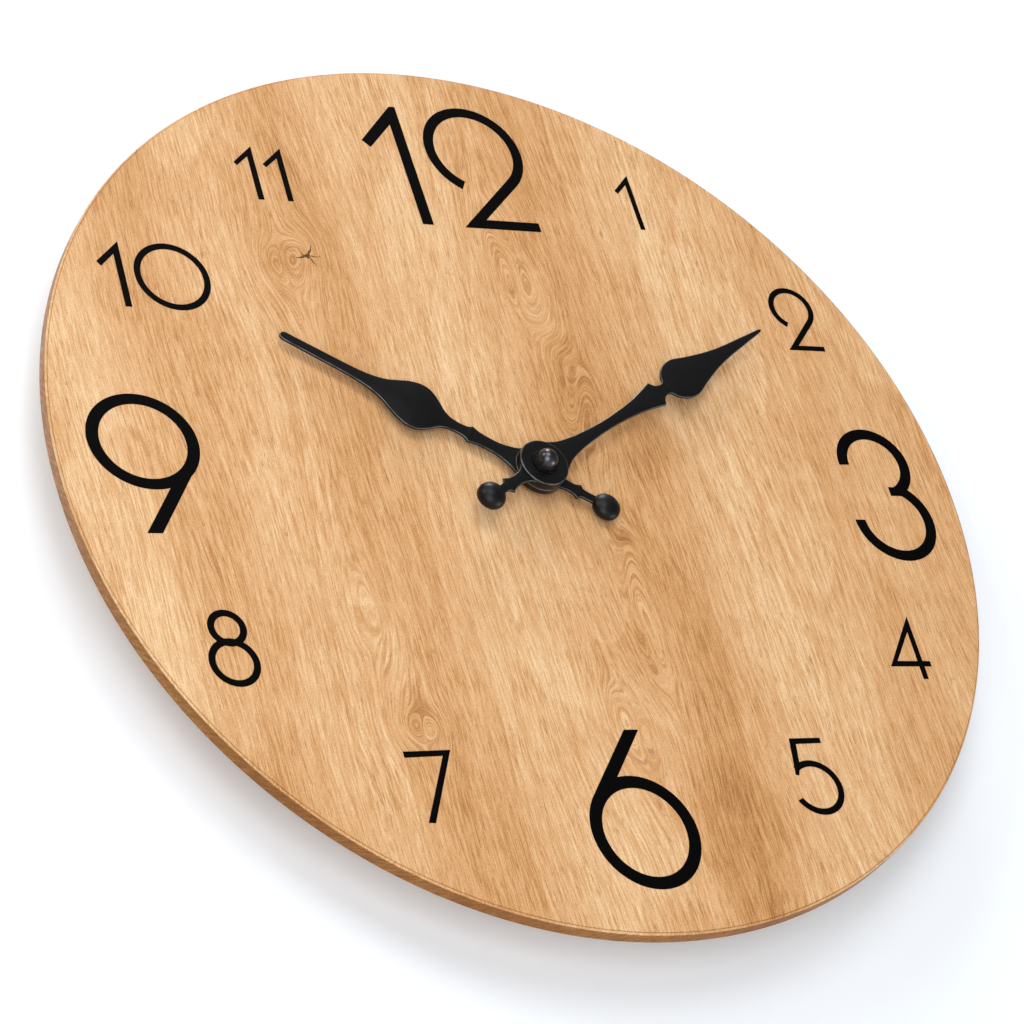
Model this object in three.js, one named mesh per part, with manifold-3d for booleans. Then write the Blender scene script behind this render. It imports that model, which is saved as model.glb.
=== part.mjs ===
// Wooden wall clock with a quartz movement, in millimetres.
// The model is built in the clock's own view: x to the right, y up to 12 o'clock and z from
// the wall to the viewer, with the hands' arbor on x = 0, y = 0 and the wall at z = 0.
// The last lines turn it so that +Z is up and the dial faces -Y.
import * as THREE from "three";
import { mergeVertices } from "three/addons/utils/BufferGeometryUtils.js";
import Module from "manifold-3d";

const wasm = await Module();
wasm.setup();

// Clearances shared by every piece
const fitPlay = 0.1;
const runningPlay = 0.3;
const cutOverrun = 1;

// Facets of round pieces
const boardFacets = 96;
const bossFacets = 48;
const largeFacets = 32;
const smallFacets = 16;
const pivotFacets = 12;

// Dial board
const boardDiameter = 300;
const boardThickness = 5;
const boardFrontRound = 1.2;
const boardBackRound = 0.5;
const boardFrontSteps = 3;
const boardBackSteps = 1;

// Threaded bushing and what it clamps
const bushingRadius = 4;
const bushingFlangeRadius = 6;
const bushingFlangeThickness = 0.8;
const bushingLead = 0.3;
const hangerThickness = 1;
const rubberWasherRadius = 10;
const rubberWasherThickness = 1;
const brassWasherRadius = 5.6;
const brassWasherThickness = 0.4;
const nutAcrossFlats = 10;
const nutThickness = 1.5;
const nutSides = 6;

// Battery, which sets the depth of the case and the height of its bay
const batteryDiameter = 14.2;
const batteryLength = 49.2;
const batteryNubRadius = 2.7;
const batteryNubLength = 1;
const batteryPlay = 0.3;
const batteryEdgeRound = 0.8;

// Movement case
const caseWall = 1.2;
const contactRoom = 2.2;
const arborAboveDivider = 10.8;
const caseFrontWall = 1.2;
const caseCorner = 3;
const caseCornerSteps = 5;
const coverThickness = 1.2;
const coverLipThickness = 1;
const coverLipHeight = 1.6;
const coverNibWidth = 6;
const coverNibHeight = 0.8;
const coverNibReach = 0.5;
const coverNibShare = 0.5;
const casePostRadius = 1.6;
const gripNotchWidth = 16;
const gripNotchDepth = 5;

// Hanger that the nail goes through
const hangerWidth = 22;
const hangerStandoff = 4;
const hangerCorner = 5;
const hangerKeyholeRadius = 4.5;
const hangerSlotRadius = 2.4;
const hangerSlotRise = 5;
const hangerKeyholeMargin = 2.6;

// Wheels and pinions
const trainModule = 0.25;
const motionModule = 0.3;
const wheelThickness = 0.6;
const motionWheelThickness = 0.8;
const pinionOverhang = 0.2;
const arborRadius = 0.55;
const pivotRadius = 0.35;
const pivotLength = 0.8;
const bearingBossRadius = 1.2;
const bearingBossHeight = 1.3;
const bearingFloor = 0.3;
const centreTeeth = 64;
const thirdPinionTeeth = 8;
const thirdTeeth = 60;
const fourthPinionTeeth = 8;
const fourthTeeth = 50;
const intermediatePinionTeeth = 10;
const intermediateTeeth = 48;
const rotorPinionTeeth = 8;
const cannonTeeth = 12;
const motionTeeth = 36;
const motionPinionTeeth = 10;
const hourTeeth = 40;
const settingTeeth = 12;

// Directions from each arbor to the next one, anticlockwise from 3 o'clock, in degrees
const thirdDirection = 65;
const fourthDirection = 75;
const intermediateDirection = -20;
const rotorDirection = -75;
const motionDirection = 150;
const settingDirection = 135;

// Tooth form: heights as shares of the module, half widths as shares of the pitch
const addendumShare = 0.8;
const dedendumShare = 1.15;
const wheelRootShare = 0.27;
const wheelTipShare = 0.08;
const pinionRootShare = 0.19;
const pinionPitchShare = 0.19;
const pinionTipShare = 0.07;

// Minute arbor, hour tube, middle plate and motion work
const minuteArborRadius = 1.4;
const minuteSeatRadius = 1.1;
const minuteRearRadius = 0.75;
const clutchFlangeRadius = 2.2;
const clutchFlangeThickness = 0.25;
const clutchSpringRadius = 2;
const clutchSpringThickness = 0.25;
const clutchGap = 0.08;
const hourTubeWall = 1;
const middlePlateThickness = 1;
const motionPostRadius = 0.5;

// Setting knob
const settingStemRadius = 0.9;
const knobRadius = 5.4;
const knobThickness = 2.4;
const knobGrooveRadius = 0.5;
const knobGrooves = 18;
const knobWellWall = 0.8;
const knobWellPlay = 0.6;

// Stepping motor
const magnetRadius = 2.8;
const magnetThickness = 2;
const magnetBackAt = 3.4;
const statorThickness = 0.8;
const statorBackAt = 4;
const rotorAirGap = 0.5;
const statorRim = 1.6;
const statorLegWidth = 3.2;
const statorHalfLength = 7.4;
const coilFloorGap = 2.9;
const coreThickness = 0.8;
const coreWidth = 2.4;
const coilRadius = 3;
const bobbinWall = 0.6;
const bobbinFlangeThickness = 0.6;
const bobbinFlangeRadius = 3.3;
const motorPostRadius = 1.3;
const motorPinRadius = 0.6;

// Circuit
const circuitWidth = 15;
const circuitHeight = 11;
const circuitThickness = 1;
const circuitBackAt = 3.2;
const circuitEdgeGap = 0.6;
const chipRadius = 2.8;
const chipHeight = 1.2;
const chipSteps = 4;
const crystalRadius = 1;
const crystalLength = 6;
const contactThickness = 0.3;
const contactWidth = 5;
const contactBackAt = 4.5;
const contactLift = 0.15;

// Hands
const minuteAngle = 60.8;
const hourAngle = 302;
const handThickness = 0.9;
const bossRadius = 7.8;
const hourBossHeight = 2.2;
const minuteBossHeight = 2.6;
const hourPlateLift = 0.4;
const minutePlateLift = 1.1;
const handGap = 0.4;
const minuteLength = 108;
const minuteHalfWidth = 6.9;
const hourLength = 85;
const hourHalfWidth = 8.5;
const ballRadius = 4.4;
const hourBallHalfHeight = 2.7;
const hourBallLift = 0.3;
const minuteBallHalfHeight = 3.2;
const ballSteps = 6;
const minuteBallShare = 0.224;
const hourBallShare = 0.268;

// Half outlines of the hands, from the boss outwards: shares of the length and the half width
const minuteArmShares = [
  [0.04, 0.9], [0.055, 0.8], [0.09, 0.54], [0.135, 0.39], [0.18, 0.31], [0.255, 0.24],
  [0.325, 0.25], [0.4, 0.33], [0.455, 0.46], [0.507, 0.63],
];
const minuteNotchShares = [[0.507, 0.63], [0.52, 0.37], [0.536, 0.28], [0.549, 0.3], [0.556, 0.38]];
const minuteSpadeShares = [
  [0.556, 0.38], [0.562, 0.56], [0.58, 0.8], [0.6, 0.95], [0.621, 1], [0.645, 0.97], [0.68, 0.8],
  [0.725, 0.61], [0.78, 0.42], [0.835, 0.3], [0.89, 0.22], [0.945, 0.145], [0.992, 0.08], [1, 0],
];
const minuteTailShares = [
  [-0.04, 0.9], [-0.068, 0.46], [-0.082, 0.33], [-0.1, 0.26], [-0.118, 0.25], [-0.136, 0.29],
  [-0.148, 0.39],
];
const minuteNeckShares = [[-0.148, 0.39], [-0.156, 0.25], [-0.168, 0.205], [-0.2, 0.22]];
const hourArmShares = [
  [0.05, 0.8], [0.07, 0.61], [0.095, 0.46], [0.115, 0.375], [0.155, 0.27], [0.19, 0.25],
  [0.225, 0.26], [0.248, 0.3], [0.267, 0.365],
];
const hourSpadeShares = [
  [0.267, 0.365], [0.281, 0.26], [0.305, 0.22], [0.33, 0.225], [0.353, 0.27], [0.377, 0.39],
  [0.4, 0.61], [0.423, 0.81], [0.447, 0.95], [0.47, 1], [0.495, 0.98], [0.53, 0.86],
  [0.565, 0.66], [0.6, 0.465], [0.635, 0.34], [0.68, 0.25], [0.74, 0.205], [0.825, 0.19],
  [0.917, 0.176], [0.984, 0.17],
];
const hourTipShares = [[0.984, 0.17], [0.996, 0.11], [1, 0]];
const hourTailShares = [
  [-0.05, 0.8], [-0.083, 0.3], [-0.095, 0.245], [-0.118, 0.205], [-0.141, 0.225], [-0.159, 0.32],
];
const hourNeckShares = [[-0.159, 0.32], [-0.171, 0.19], [-0.194, 0.17], [-0.24, 0.176]];

// Cap nut
const capFlangeRadius = 4;
const capFlangeThickness = 0.6;
const capRadius = 3.25;
const capNeckHeight = 0.9;
const capWall = 1;
const capSteps = 6;

// Materials
const oak = new THREE.MeshStandardMaterial({ color: 0xd9a870, roughness: 0.6, metalness: 0 });
const blackMetal = new THREE.MeshStandardMaterial({ color: 0x141414, roughness: 0.4, metalness: 0.6 });
const blackGloss = new THREE.MeshStandardMaterial({ color: 0x0c0c0c, roughness: 0.15, metalness: 0.6 });
const brass = new THREE.MeshStandardMaterial({ color: 0xc9a24a, roughness: 0.35, metalness: 1 });
const steel = new THREE.MeshStandardMaterial({ color: 0xb4b7ba, roughness: 0.35, metalness: 1 });
const rubber = new THREE.MeshStandardMaterial({ color: 0x1b1b1b, roughness: 0.9, metalness: 0 });
const blackPlastic = new THREE.MeshStandardMaterial({ color: 0x1a1a1b, roughness: 0.55, metalness: 0 });
const whitePlastic = new THREE.MeshStandardMaterial({ color: 0xe8e6df, roughness: 0.5, metalness: 0 });
const copper = new THREE.MeshStandardMaterial({ color: 0xb5672f, roughness: 0.35, metalness: 1 });
const fibreglass = new THREE.MeshStandardMaterial({ color: 0x2c6b3a, roughness: 0.5, metalness: 0 });
const epoxy = new THREE.MeshStandardMaterial({ color: 0x101012, roughness: 0.3, metalness: 0 });
const magnet = new THREE.MeshStandardMaterial({ color: 0x3a3a3c, roughness: 0.6, metalness: 0.5 });
const sleeve = new THREE.MeshStandardMaterial({ color: 0x3d5a86, roughness: 0.3, metalness: 0.2 });

// Depths along z, stacked from the wall to the viewer
const caseDepth = caseFrontWall + batteryDiameter + 2 * batteryPlay;
const caseInnerFront = caseDepth - caseFrontWall;
const hangerFront = caseDepth + hangerThickness;
const boardBack = hangerFront + rubberWasherThickness;
const boardFront = boardBack + boardThickness;
const nutBack = boardFront + brassWasherThickness;
const bushingFront = nutBack + nutThickness + bushingLead;
const hourBossBack = bushingFront + runningPlay;
const hourBossFront = hourBossBack + hourBossHeight;
const minuteBossBack = hourBossFront + handGap;
const minuteBossFront = minuteBossBack + minuteBossHeight;

// Depths inside the case, stacked from its front wall towards the wall of the room
const flangeBack = caseInnerFront - bushingFlangeThickness;
const hourWheelBack = flangeBack - runningPlay - motionWheelThickness;
const motionWheelBack = hourWheelBack - runningPlay - motionWheelThickness;
const middlePlateFront = motionWheelBack - runningPlay;
const middlePlateBack = middlePlateFront - middlePlateThickness;
const wheelStep = wheelThickness + 2 * pinionOverhang + runningPlay;
const centreWheelBack = middlePlateBack - 2 * pinionOverhang - wheelThickness;
const thirdWheelBack = centreWheelBack - wheelStep + pinionOverhang;
const fourthWheelBack = thirdWheelBack - wheelStep + pinionOverhang;
const intermediateWheelBack = fourthWheelBack - wheelStep + pinionOverhang;
const bearingTop = coverThickness + bearingBossHeight;

// Places of the arbors
const motionDistance = motionModule * (cannonTeeth + motionTeeth) / 2;
const hourModule = 2 * motionDistance / (motionPinionTeeth + hourTeeth);
const settingDistance = motionModule * (motionTeeth + settingTeeth) / 2;

function stepFrom(place, direction, distance) {
  const angle = THREE.MathUtils.degToRad(direction);
  return new THREE.Vector2(
    place.x + distance * Math.cos(angle),
    place.y + distance * Math.sin(angle),
  );
}

function trainDistance(wheelTeeth, pinionTeeth) {
  return trainModule * (wheelTeeth + pinionTeeth) / 2;
}

const centrePlace = new THREE.Vector2(0, 0);
const thirdPlace = stepFrom(centrePlace, thirdDirection, trainDistance(centreTeeth, thirdPinionTeeth));
const fourthPlace = stepFrom(thirdPlace, fourthDirection, trainDistance(thirdTeeth, fourthPinionTeeth));
const intermediatePlace = stepFrom(
  fourthPlace,
  intermediateDirection,
  trainDistance(fourthTeeth, intermediatePinionTeeth),
);
const rotorPlace = stepFrom(
  intermediatePlace,
  rotorDirection,
  trainDistance(intermediateTeeth, rotorPinionTeeth),
);
const motionPlace = stepFrom(centrePlace, motionDirection, motionDistance);
const settingPlace = stepFrom(motionPlace, settingDirection, settingDistance);

// Inside of the case: the battery bay below, the wheels above a divider, the arbor in the middle
const dividerTop = -arborAboveDivider;
const bayTop = dividerTop - caseWall;
const bayBottom = bayTop - batteryDiameter - 2 * batteryPlay;
const caseHeight = 2 * (caseWall - bayBottom);
const innerTop = caseHeight / 2 - caseWall;
const innerHalfWidth = batteryLength / 2 + contactRoom;
const caseWidth = 2 * (innerHalfWidth + caseWall);
const batteryPlace = new THREE.Vector2(0, (bayBottom + bayTop) / 2);
const coilPlace = new THREE.Vector2(rotorPlace.x, dividerTop + coilFloorGap + bobbinFlangeRadius);

// A closed three.js geometry as a solid that can be joined and cut
function solidOf(geometry) {
  const bare = geometry.index ? geometry.toNonIndexed() : geometry.clone();
  bare.deleteAttribute("normal");
  bare.deleteAttribute("uv");
  const merged = mergeVertices(bare, 1e-4);
  return new wasm.Manifold(new wasm.Mesh({
    numProp: 3,
    vertProperties: merged.attributes.position.array,
    triVerts: new Uint32Array(merged.index.array),
  }));
}

function join(...pieces) {
  return pieces.reduce((whole, piece) => whole.add(piece));
}

function cut(base, ...tools) {
  return tools.reduce((rest, tool) => rest.subtract(tool), base);
}

function geometryOf(solid) {
  const mesh = solid.getMesh();
  const geometry = new THREE.BufferGeometry();
  geometry.setAttribute("position", new THREE.BufferAttribute(mesh.vertProperties, 3));
  geometry.setIndex(new THREE.BufferAttribute(mesh.triVerts, 1));
  const faceted = geometry.toNonIndexed();
  faceted.computeVertexNormals();
  return faceted;
}

// One named piece of the clock
function addPiece(parent, name, solid, material) {
  const mesh = new THREE.Mesh(geometryOf(solid), material);
  mesh.name = name;
  parent.add(mesh);
  return mesh;
}

// A flat shape pulled forward from one depth to another
function plate(shape, back, front, curveSegments = largeFacets / 2) {
  const geometry = new THREE.ExtrudeGeometry(shape, {
    depth: front - back,
    bevelEnabled: false,
    curveSegments,
  });
  return solidOf(geometry.translate(0, 0, back));
}

function circle(radius, x = 0, y = 0) {
  const shape = new THREE.Shape();
  shape.absarc(x, y, radius, 0, 2 * Math.PI, false);
  return shape;
}

// A round bar between two depths
function bar(radius, back, front, place = centrePlace, facets = smallFacets) {
  const length = front - back;
  const geometry = new THREE.CylinderGeometry(radius, radius, length, facets);
  geometry.rotateX(Math.PI / 2);
  return solidOf(geometry.translate(place.x, place.y, back + length / 2));
}

// A round cutter that overruns both faces of what it goes through
function bore(radius, back, front, place = centrePlace, facets = smallFacets) {
  return bar(radius, back - cutOverrun, front + cutOverrun, place, facets);
}

// A piece turned on the arbor's direction from [radius, depth] points, back to front
function turned(points, facets = smallFacets, place = centrePlace) {
  const profile = points.map(([radius, depth]) => new THREE.Vector2(radius, depth));
  const geometry = new THREE.LatheGeometry(profile, facets);
  geometry.rotateX(Math.PI / 2);
  return solidOf(geometry.translate(place.x, place.y, 0));
}

// A stepped spindle from [radius, front depth] steps that start at the back depth
function spindle(back, steps, facets = smallFacets) {
  const points = [[0, back]];
  let depth = back;
  for (const [radius, front] of steps) {
    points.push([radius, depth], [radius, front]);
    depth = front;
  }
  points.push([0, depth]);
  return turned(points, facets);
}

function box(x0, x1, y0, y1, z0, z1) {
  const geometry = new THREE.BoxGeometry(x1 - x0, y1 - y0, z1 - z0);
  return solidOf(geometry.translate((x0 + x1) / 2, (y0 + y1) / 2, (z0 + z1) / 2));
}

function roundedRectangle(x0, x1, y0, y1, radius) {
  const shape = new THREE.Shape();
  shape.absarc(x1 - radius, y1 - radius, radius, 0, Math.PI / 2, false);
  shape.absarc(x0 + radius, y1 - radius, radius, Math.PI / 2, Math.PI, false);
  shape.absarc(x0 + radius, y0 + radius, radius, Math.PI, 3 * Math.PI / 2, false);
  shape.absarc(x1 - radius, y0 + radius, radius, 3 * Math.PI / 2, 2 * Math.PI, false);
  shape.closePath();
  return shape;
}

// Toothed outline: each tooth rises from the root to the tip and falls again
function toothedShape(teeth, gearModule, levels, phase) {
  const shape = new THREE.Shape();
  const pitch = 2 * Math.PI / teeth;
  const rise = levels.map(([height, half]) => [gearModule * (teeth / 2 + height), -half * pitch]);
  const fall = rise.map(([radius, angle]) => [radius, -angle]).reverse();
  for (let tooth = 0; tooth < teeth; tooth += 1) {
    for (const [radius, angle] of [...rise, ...fall]) {
      const turn = phase + tooth * pitch + angle;
      const method = shape.curves.length || shape.currentPoint.length() ? "lineTo" : "moveTo";
      shape[method](radius * Math.cos(turn), radius * Math.sin(turn));
    }
  }
  shape.closePath();
  return shape;
}

const wheelLevelShares = [[-dedendumShare, wheelRootShare], [addendumShare, wheelTipShare]];
const pinionLevelShares = [
  [-dedendumShare, pinionRootShare],
  [0, pinionPitchShare],
  [addendumShare, pinionTipShare],
];

function wheelRim(teeth, gearModule, back, thickness, phase) {
  return plate(toothedShape(teeth, gearModule, wheelLevelShares, phase), back, back + thickness);
}

function pinionRim(teeth, gearModule, back, thickness, phase) {
  return plate(toothedShape(teeth, gearModule, pinionLevelShares, phase), back, back + thickness);
}

// Phase that puts a driven gear in mesh with a driver whose phase is known,
// when the driven one lies in the given direction from the driver
function meshPhase(direction, driverTeeth, driverPhase, drivenTeeth) {
  const line = THREE.MathUtils.degToRad(direction);
  const offset = (line - driverPhase) * driverTeeth / (2 * Math.PI);
  return line + Math.PI - (0.5 - offset) * 2 * Math.PI / drivenTeeth;
}

// A train wheel with its pinion and arbor, moulded in one piece and running between
// the middle plate and the rear cover
function trainWheel(wheel, pinion) {
  const axle = spindle(coverThickness + bearingFloor + fitPlay, [
    [pivotRadius, bearingTop + fitPlay],
    [arborRadius, middlePlateBack - fitPlay],
    [pivotRadius, middlePlateBack - fitPlay + pivotLength],
  ], pivotFacets);
  return join(axle, wheel, pinion);
}

function thirdWheel() {
  const wheelPhase = THREE.MathUtils.degToRad(fourthDirection);
  const pinionPhase = meshPhase(thirdDirection, centreTeeth, 0, thirdPinionTeeth);
  return trainWheel(
    wheelRim(thirdTeeth, trainModule, thirdWheelBack, wheelThickness, wheelPhase),
    pinionRim(
      thirdPinionTeeth,
      trainModule,
      centreWheelBack - pinionOverhang,
      wheelThickness + 2 * pinionOverhang,
      pinionPhase,
    ),
  );
}

function fourthWheel() {
  const wheelPhase = THREE.MathUtils.degToRad(intermediateDirection);
  const pinionPhase = meshPhase(
    fourthDirection,
    thirdTeeth,
    THREE.MathUtils.degToRad(fourthDirection),
    fourthPinionTeeth,
  );
  return trainWheel(
    wheelRim(fourthTeeth, trainModule, fourthWheelBack, wheelThickness, wheelPhase),
    pinionRim(
      fourthPinionTeeth,
      trainModule,
      thirdWheelBack - pinionOverhang,
      wheelThickness + 2 * pinionOverhang,
      pinionPhase,
    ),
  );
}

function intermediateWheel() {
  const wheelPhase = THREE.MathUtils.degToRad(rotorDirection);
  const pinionPhase = meshPhase(
    intermediateDirection,
    fourthTeeth,
    THREE.MathUtils.degToRad(intermediateDirection),
    intermediatePinionTeeth,
  );
  return trainWheel(
    wheelRim(intermediateTeeth, trainModule, intermediateWheelBack, wheelThickness, wheelPhase),
    pinionRim(
      intermediatePinionTeeth,
      trainModule,
      fourthWheelBack - pinionOverhang,
      wheelThickness + 2 * pinionOverhang,
      pinionPhase,
    ),
  );
}

// The rotor's pinion and arbor, on which the magnet is pressed
function rotorPinion() {
  const phase = meshPhase(
    rotorDirection,
    intermediateTeeth,
    THREE.MathUtils.degToRad(rotorDirection),
    rotorPinionTeeth,
  );
  const axle = spindle(coverThickness + bearingFloor + fitPlay, [
    [pivotRadius, bearingTop + fitPlay],
    [arborRadius, middlePlateBack - fitPlay],
    [pivotRadius, middlePlateBack - fitPlay + pivotLength],
  ], pivotFacets);
  const teeth = pinionRim(
    rotorPinionTeeth,
    trainModule,
    intermediateWheelBack - pinionOverhang,
    wheelThickness + 2 * pinionOverhang,
    phase,
  );
  return join(axle, teeth);
}

function rotorMagnet() {
  const front = magnetBackAt + magnetThickness;
  return cut(
    bar(magnetRadius, magnetBackAt, front, centrePlace, largeFacets),
    bore(arborRadius + fitPlay, magnetBackAt, front, centrePlace, pivotFacets),
  );
}

function centreWheel() {
  const front = centreWheelBack + wheelThickness;
  return cut(
    wheelRim(centreTeeth, trainModule, centreWheelBack, wheelThickness, 0),
    bore(minuteArborRadius + fitPlay, centreWheelBack, front),
  );
}

// Minute arbor: rear pivot, clutch flange, cannon pinion, then the seat and thread for the hand
const cannonBack = motionWheelBack - fitPlay;
const cannonPhase = THREE.MathUtils.degToRad(motionDirection);
const clutchFlangeBack = centreWheelBack + wheelThickness + clutchGap;
const capDomeBack = minuteBossFront + capFlangeThickness + capNeckHeight;
const capThreadFront = capDomeBack + capRadius - capWall - fitPlay;

function minuteArbor() {
  const axle = spindle(coverThickness + bearingFloor + fitPlay, [
    [minuteRearRadius, centreWheelBack - clutchGap / 2],
    [minuteArborRadius, clutchFlangeBack],
    [clutchFlangeRadius, clutchFlangeBack + clutchFlangeThickness],
    [minuteArborRadius, minuteBossBack],
    [minuteSeatRadius, capThreadFront],
  ]);
  const cannon = pinionRim(
    cannonTeeth,
    motionModule,
    cannonBack,
    motionWheelThickness + fitPlay,
    cannonPhase,
  );
  return join(axle, cannon);
}

function clutchSpring() {
  const front = centreWheelBack - clutchGap;
  const back = front - clutchSpringThickness;
  return cut(
    bar(clutchSpringRadius, back, front),
    bore(minuteRearRadius + fitPlay, back, front),
  );
}

// The motion wheel runs on a post of the case, with its pinion in front of it
const motionPhase = meshPhase(motionDirection, cannonTeeth, cannonPhase, motionTeeth);

function motionWheel() {
  const pinionFront = hourWheelBack + motionWheelThickness;
  return cut(
    join(
      wheelRim(motionTeeth, motionModule, motionWheelBack, motionWheelThickness, motionPhase),
      pinionRim(motionPinionTeeth, hourModule, motionWheelBack, pinionFront - motionWheelBack, 0),
    ),
    bore(motionPostRadius + fitPlay, motionWheelBack, pinionFront),
  );
}

function hourWheel() {
  const phase = meshPhase(motionDirection + 180, motionPinionTeeth, 0, hourTeeth);
  const boreRadius = minuteArborRadius + fitPlay;
  const tubeRadius = boreRadius + hourTubeWall;
  const front = hourBossFront - fitPlay;
  return cut(
    join(
      wheelRim(hourTeeth, hourModule, hourWheelBack, motionWheelThickness, phase),
      bar(tubeRadius, hourWheelBack, front),
    ),
    bore(boreRadius, hourWheelBack, front),
  );
}

// Setting knob: a grooved disc in a well of the rear cover, its stem and its pinion
const knobBack = fitPlay;
const knobFront = knobBack + knobThickness;
const wellFloorBack = knobFront + runningPlay;
const wellFloorFront = wellFloorBack + knobWellWall;
const settingPivotFront = caseInnerFront - bearingFloor - fitPlay;

function settingKnob() {
  const grooves = [];
  for (let groove = 0; groove < knobGrooves; groove += 1) {
    const place = stepFrom(centrePlace, 360 * groove / knobGrooves, knobRadius);
    grooves.push(bar(knobGrooveRadius, -cutOverrun, knobFront + cutOverrun, place, 8));
  }
  return join(
    cut(bar(knobRadius, knobBack, knobFront, centrePlace, largeFacets), ...grooves),
    bar(settingStemRadius, knobFront - fitPlay, motionWheelBack),
  );
}

function settingPinion() {
  const phase = meshPhase(settingDirection, motionTeeth, motionPhase, settingTeeth);
  return join(
    pinionRim(settingTeeth, motionModule, motionWheelBack, motionWheelThickness, phase),
    spindle(motionWheelBack, [[settingStemRadius, hourWheelBack], [pivotRadius, settingPivotFront]]),
  );
}

// Dial board with a rounded front edge
function woodDial() {
  const radius = boardDiameter / 2;
  const hole = bushingRadius + runningPlay;
  const arc = (centreRadius, depth, size, from, steps) => {
    const points = [];
    for (let step = 0; step <= steps; step += 1) {
      const angle = from + Math.PI / 2 * step / steps;
      points.push([centreRadius + size * Math.cos(angle), depth + size * Math.sin(angle)]);
    }
    return points;
  };
  return turned([
    [hole, boardBack],
    ...arc(
      radius - boardBackRound,
      boardBack + boardBackRound,
      boardBackRound,
      -Math.PI / 2,
      boardBackSteps,
    ),
    ...arc(
      radius - boardFrontRound,
      boardFront - boardFrontRound,
      boardFrontRound,
      0,
      boardFrontSteps,
    ),
    [hole, boardFront],
    [hole, boardBack],
  ], boardFacets);
}

// Bushing, washers and nut
function threadedBushing() {
  const bore = minuteArborRadius + fitPlay + hourTubeWall + fitPlay;
  return turned([
    [bore, flangeBack],
    [bushingFlangeRadius, flangeBack],
    [bushingFlangeRadius, caseInnerFront],
    [bushingRadius, caseInnerFront],
    [bushingRadius, bushingFront - bushingLead],
    [bushingRadius - bushingLead, bushingFront],
    [bore, bushingFront],
    [bore, flangeBack],
  ], largeFacets);
}

function washer(radius, back, thickness) {
  const shape = circle(radius);
  shape.holes.push(circle(bushingRadius + fitPlay));
  return plate(shape, back, back + thickness);
}

function hexNut() {
  const shape = new THREE.Shape();
  const corner = nutAcrossFlats / 2 / Math.cos(Math.PI / nutSides);
  for (let side = 0; side < nutSides; side += 1) {
    const place = stepFrom(centrePlace, 360 * side / nutSides, corner);
    if (side) shape.lineTo(place.x, place.y);
    else shape.moveTo(place.x, place.y);
  }
  shape.closePath();
  shape.holes.push(circle(bushingRadius + fitPlay));
  return plate(shape, nutBack, nutBack + nutThickness);
}

// Hanger: flat round the bushing, bent back over the case, and up to its keyhole
const hangerBend = caseHeight / 2 + runningPlay;
const keyholeHeight = hangerBend + hangerThickness + hangerKeyholeMargin + hangerKeyholeRadius;

const hangerTop = keyholeHeight + hangerSlotRise + hangerSlotRadius + hangerKeyholeMargin;

function hangerPlate() {
  const half = hangerWidth / 2;
  const rearFront = hangerStandoff + hangerThickness;
  const lower = roundedRectangle(-half, half, -half, hangerBend + hangerThickness, hangerCorner / half);
  const upper = roundedRectangle(-half, half, hangerBend, hangerTop, hangerCorner);
  const keyhole = join(
    bar(hangerKeyholeRadius, 0, caseDepth, new THREE.Vector2(0, keyholeHeight), largeFacets),
    bar(hangerSlotRadius, 0, caseDepth, new THREE.Vector2(0, keyholeHeight + hangerSlotRise)),
    box(-hangerSlotRadius, hangerSlotRadius, keyholeHeight, keyholeHeight + hangerSlotRise, 0, caseDepth),
  );
  const squareFoot = box(-half, half, hangerBend, hangerBend + hangerCorner, hangerStandoff, rearFront);
  return cut(
    join(
      plate(lower, caseDepth, hangerFront, caseCornerSteps),
      box(-half, half, hangerBend, hangerBend + hangerThickness, hangerStandoff, hangerFront),
      plate(upper, hangerStandoff, rearFront, caseCornerSteps),
      squareFoot,
    ),
    keyhole,
    bore(bushingRadius + fitPlay, caseDepth, hangerFront, centrePlace, largeFacets),
  );
}

// Case: front wall, side walls, the divider above the battery bay, posts and bearings
const cornerPostPlaces = [
  new THREE.Vector2(-innerHalfWidth + casePostRadius, innerTop - casePostRadius),
  new THREE.Vector2(innerHalfWidth - casePostRadius, innerTop - casePostRadius),
  new THREE.Vector2(-innerHalfWidth + casePostRadius, dividerTop + casePostRadius),
  new THREE.Vector2(innerHalfWidth - casePostRadius, dividerTop + casePostRadius),
];

// Snap nibs on the cover's lip, two at each side and two at the top; grown for their windows
const nibHeight = (dividerTop + innerTop) / 2;
const nibSpread = (innerTop - dividerTop) / 2 * coverNibShare;
const nibFront = coverThickness + coverLipHeight;

function coverNibs(reach, play) {
  const back = nibFront - coverNibHeight - play;
  const front = nibFront + play;
  const halfWidth = coverNibWidth / 2 + play;
  return [-nibSpread, nibSpread].flatMap((shift) => [
    box(
      -innerHalfWidth - reach,
      -innerHalfWidth + fitPlay + coverLipThickness / 2,
      nibHeight + shift - halfWidth,
      nibHeight + shift + halfWidth,
      back,
      front,
    ),
    box(
      innerHalfWidth - fitPlay - coverLipThickness / 2,
      innerHalfWidth + reach,
      nibHeight + shift - halfWidth,
      nibHeight + shift + halfWidth,
      back,
      front,
    ),
    box(
      shift - halfWidth,
      shift + halfWidth,
      innerTop - fitPlay - coverLipThickness / 2,
      innerTop + reach,
      back,
      front,
    ),
  ]);
}

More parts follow.
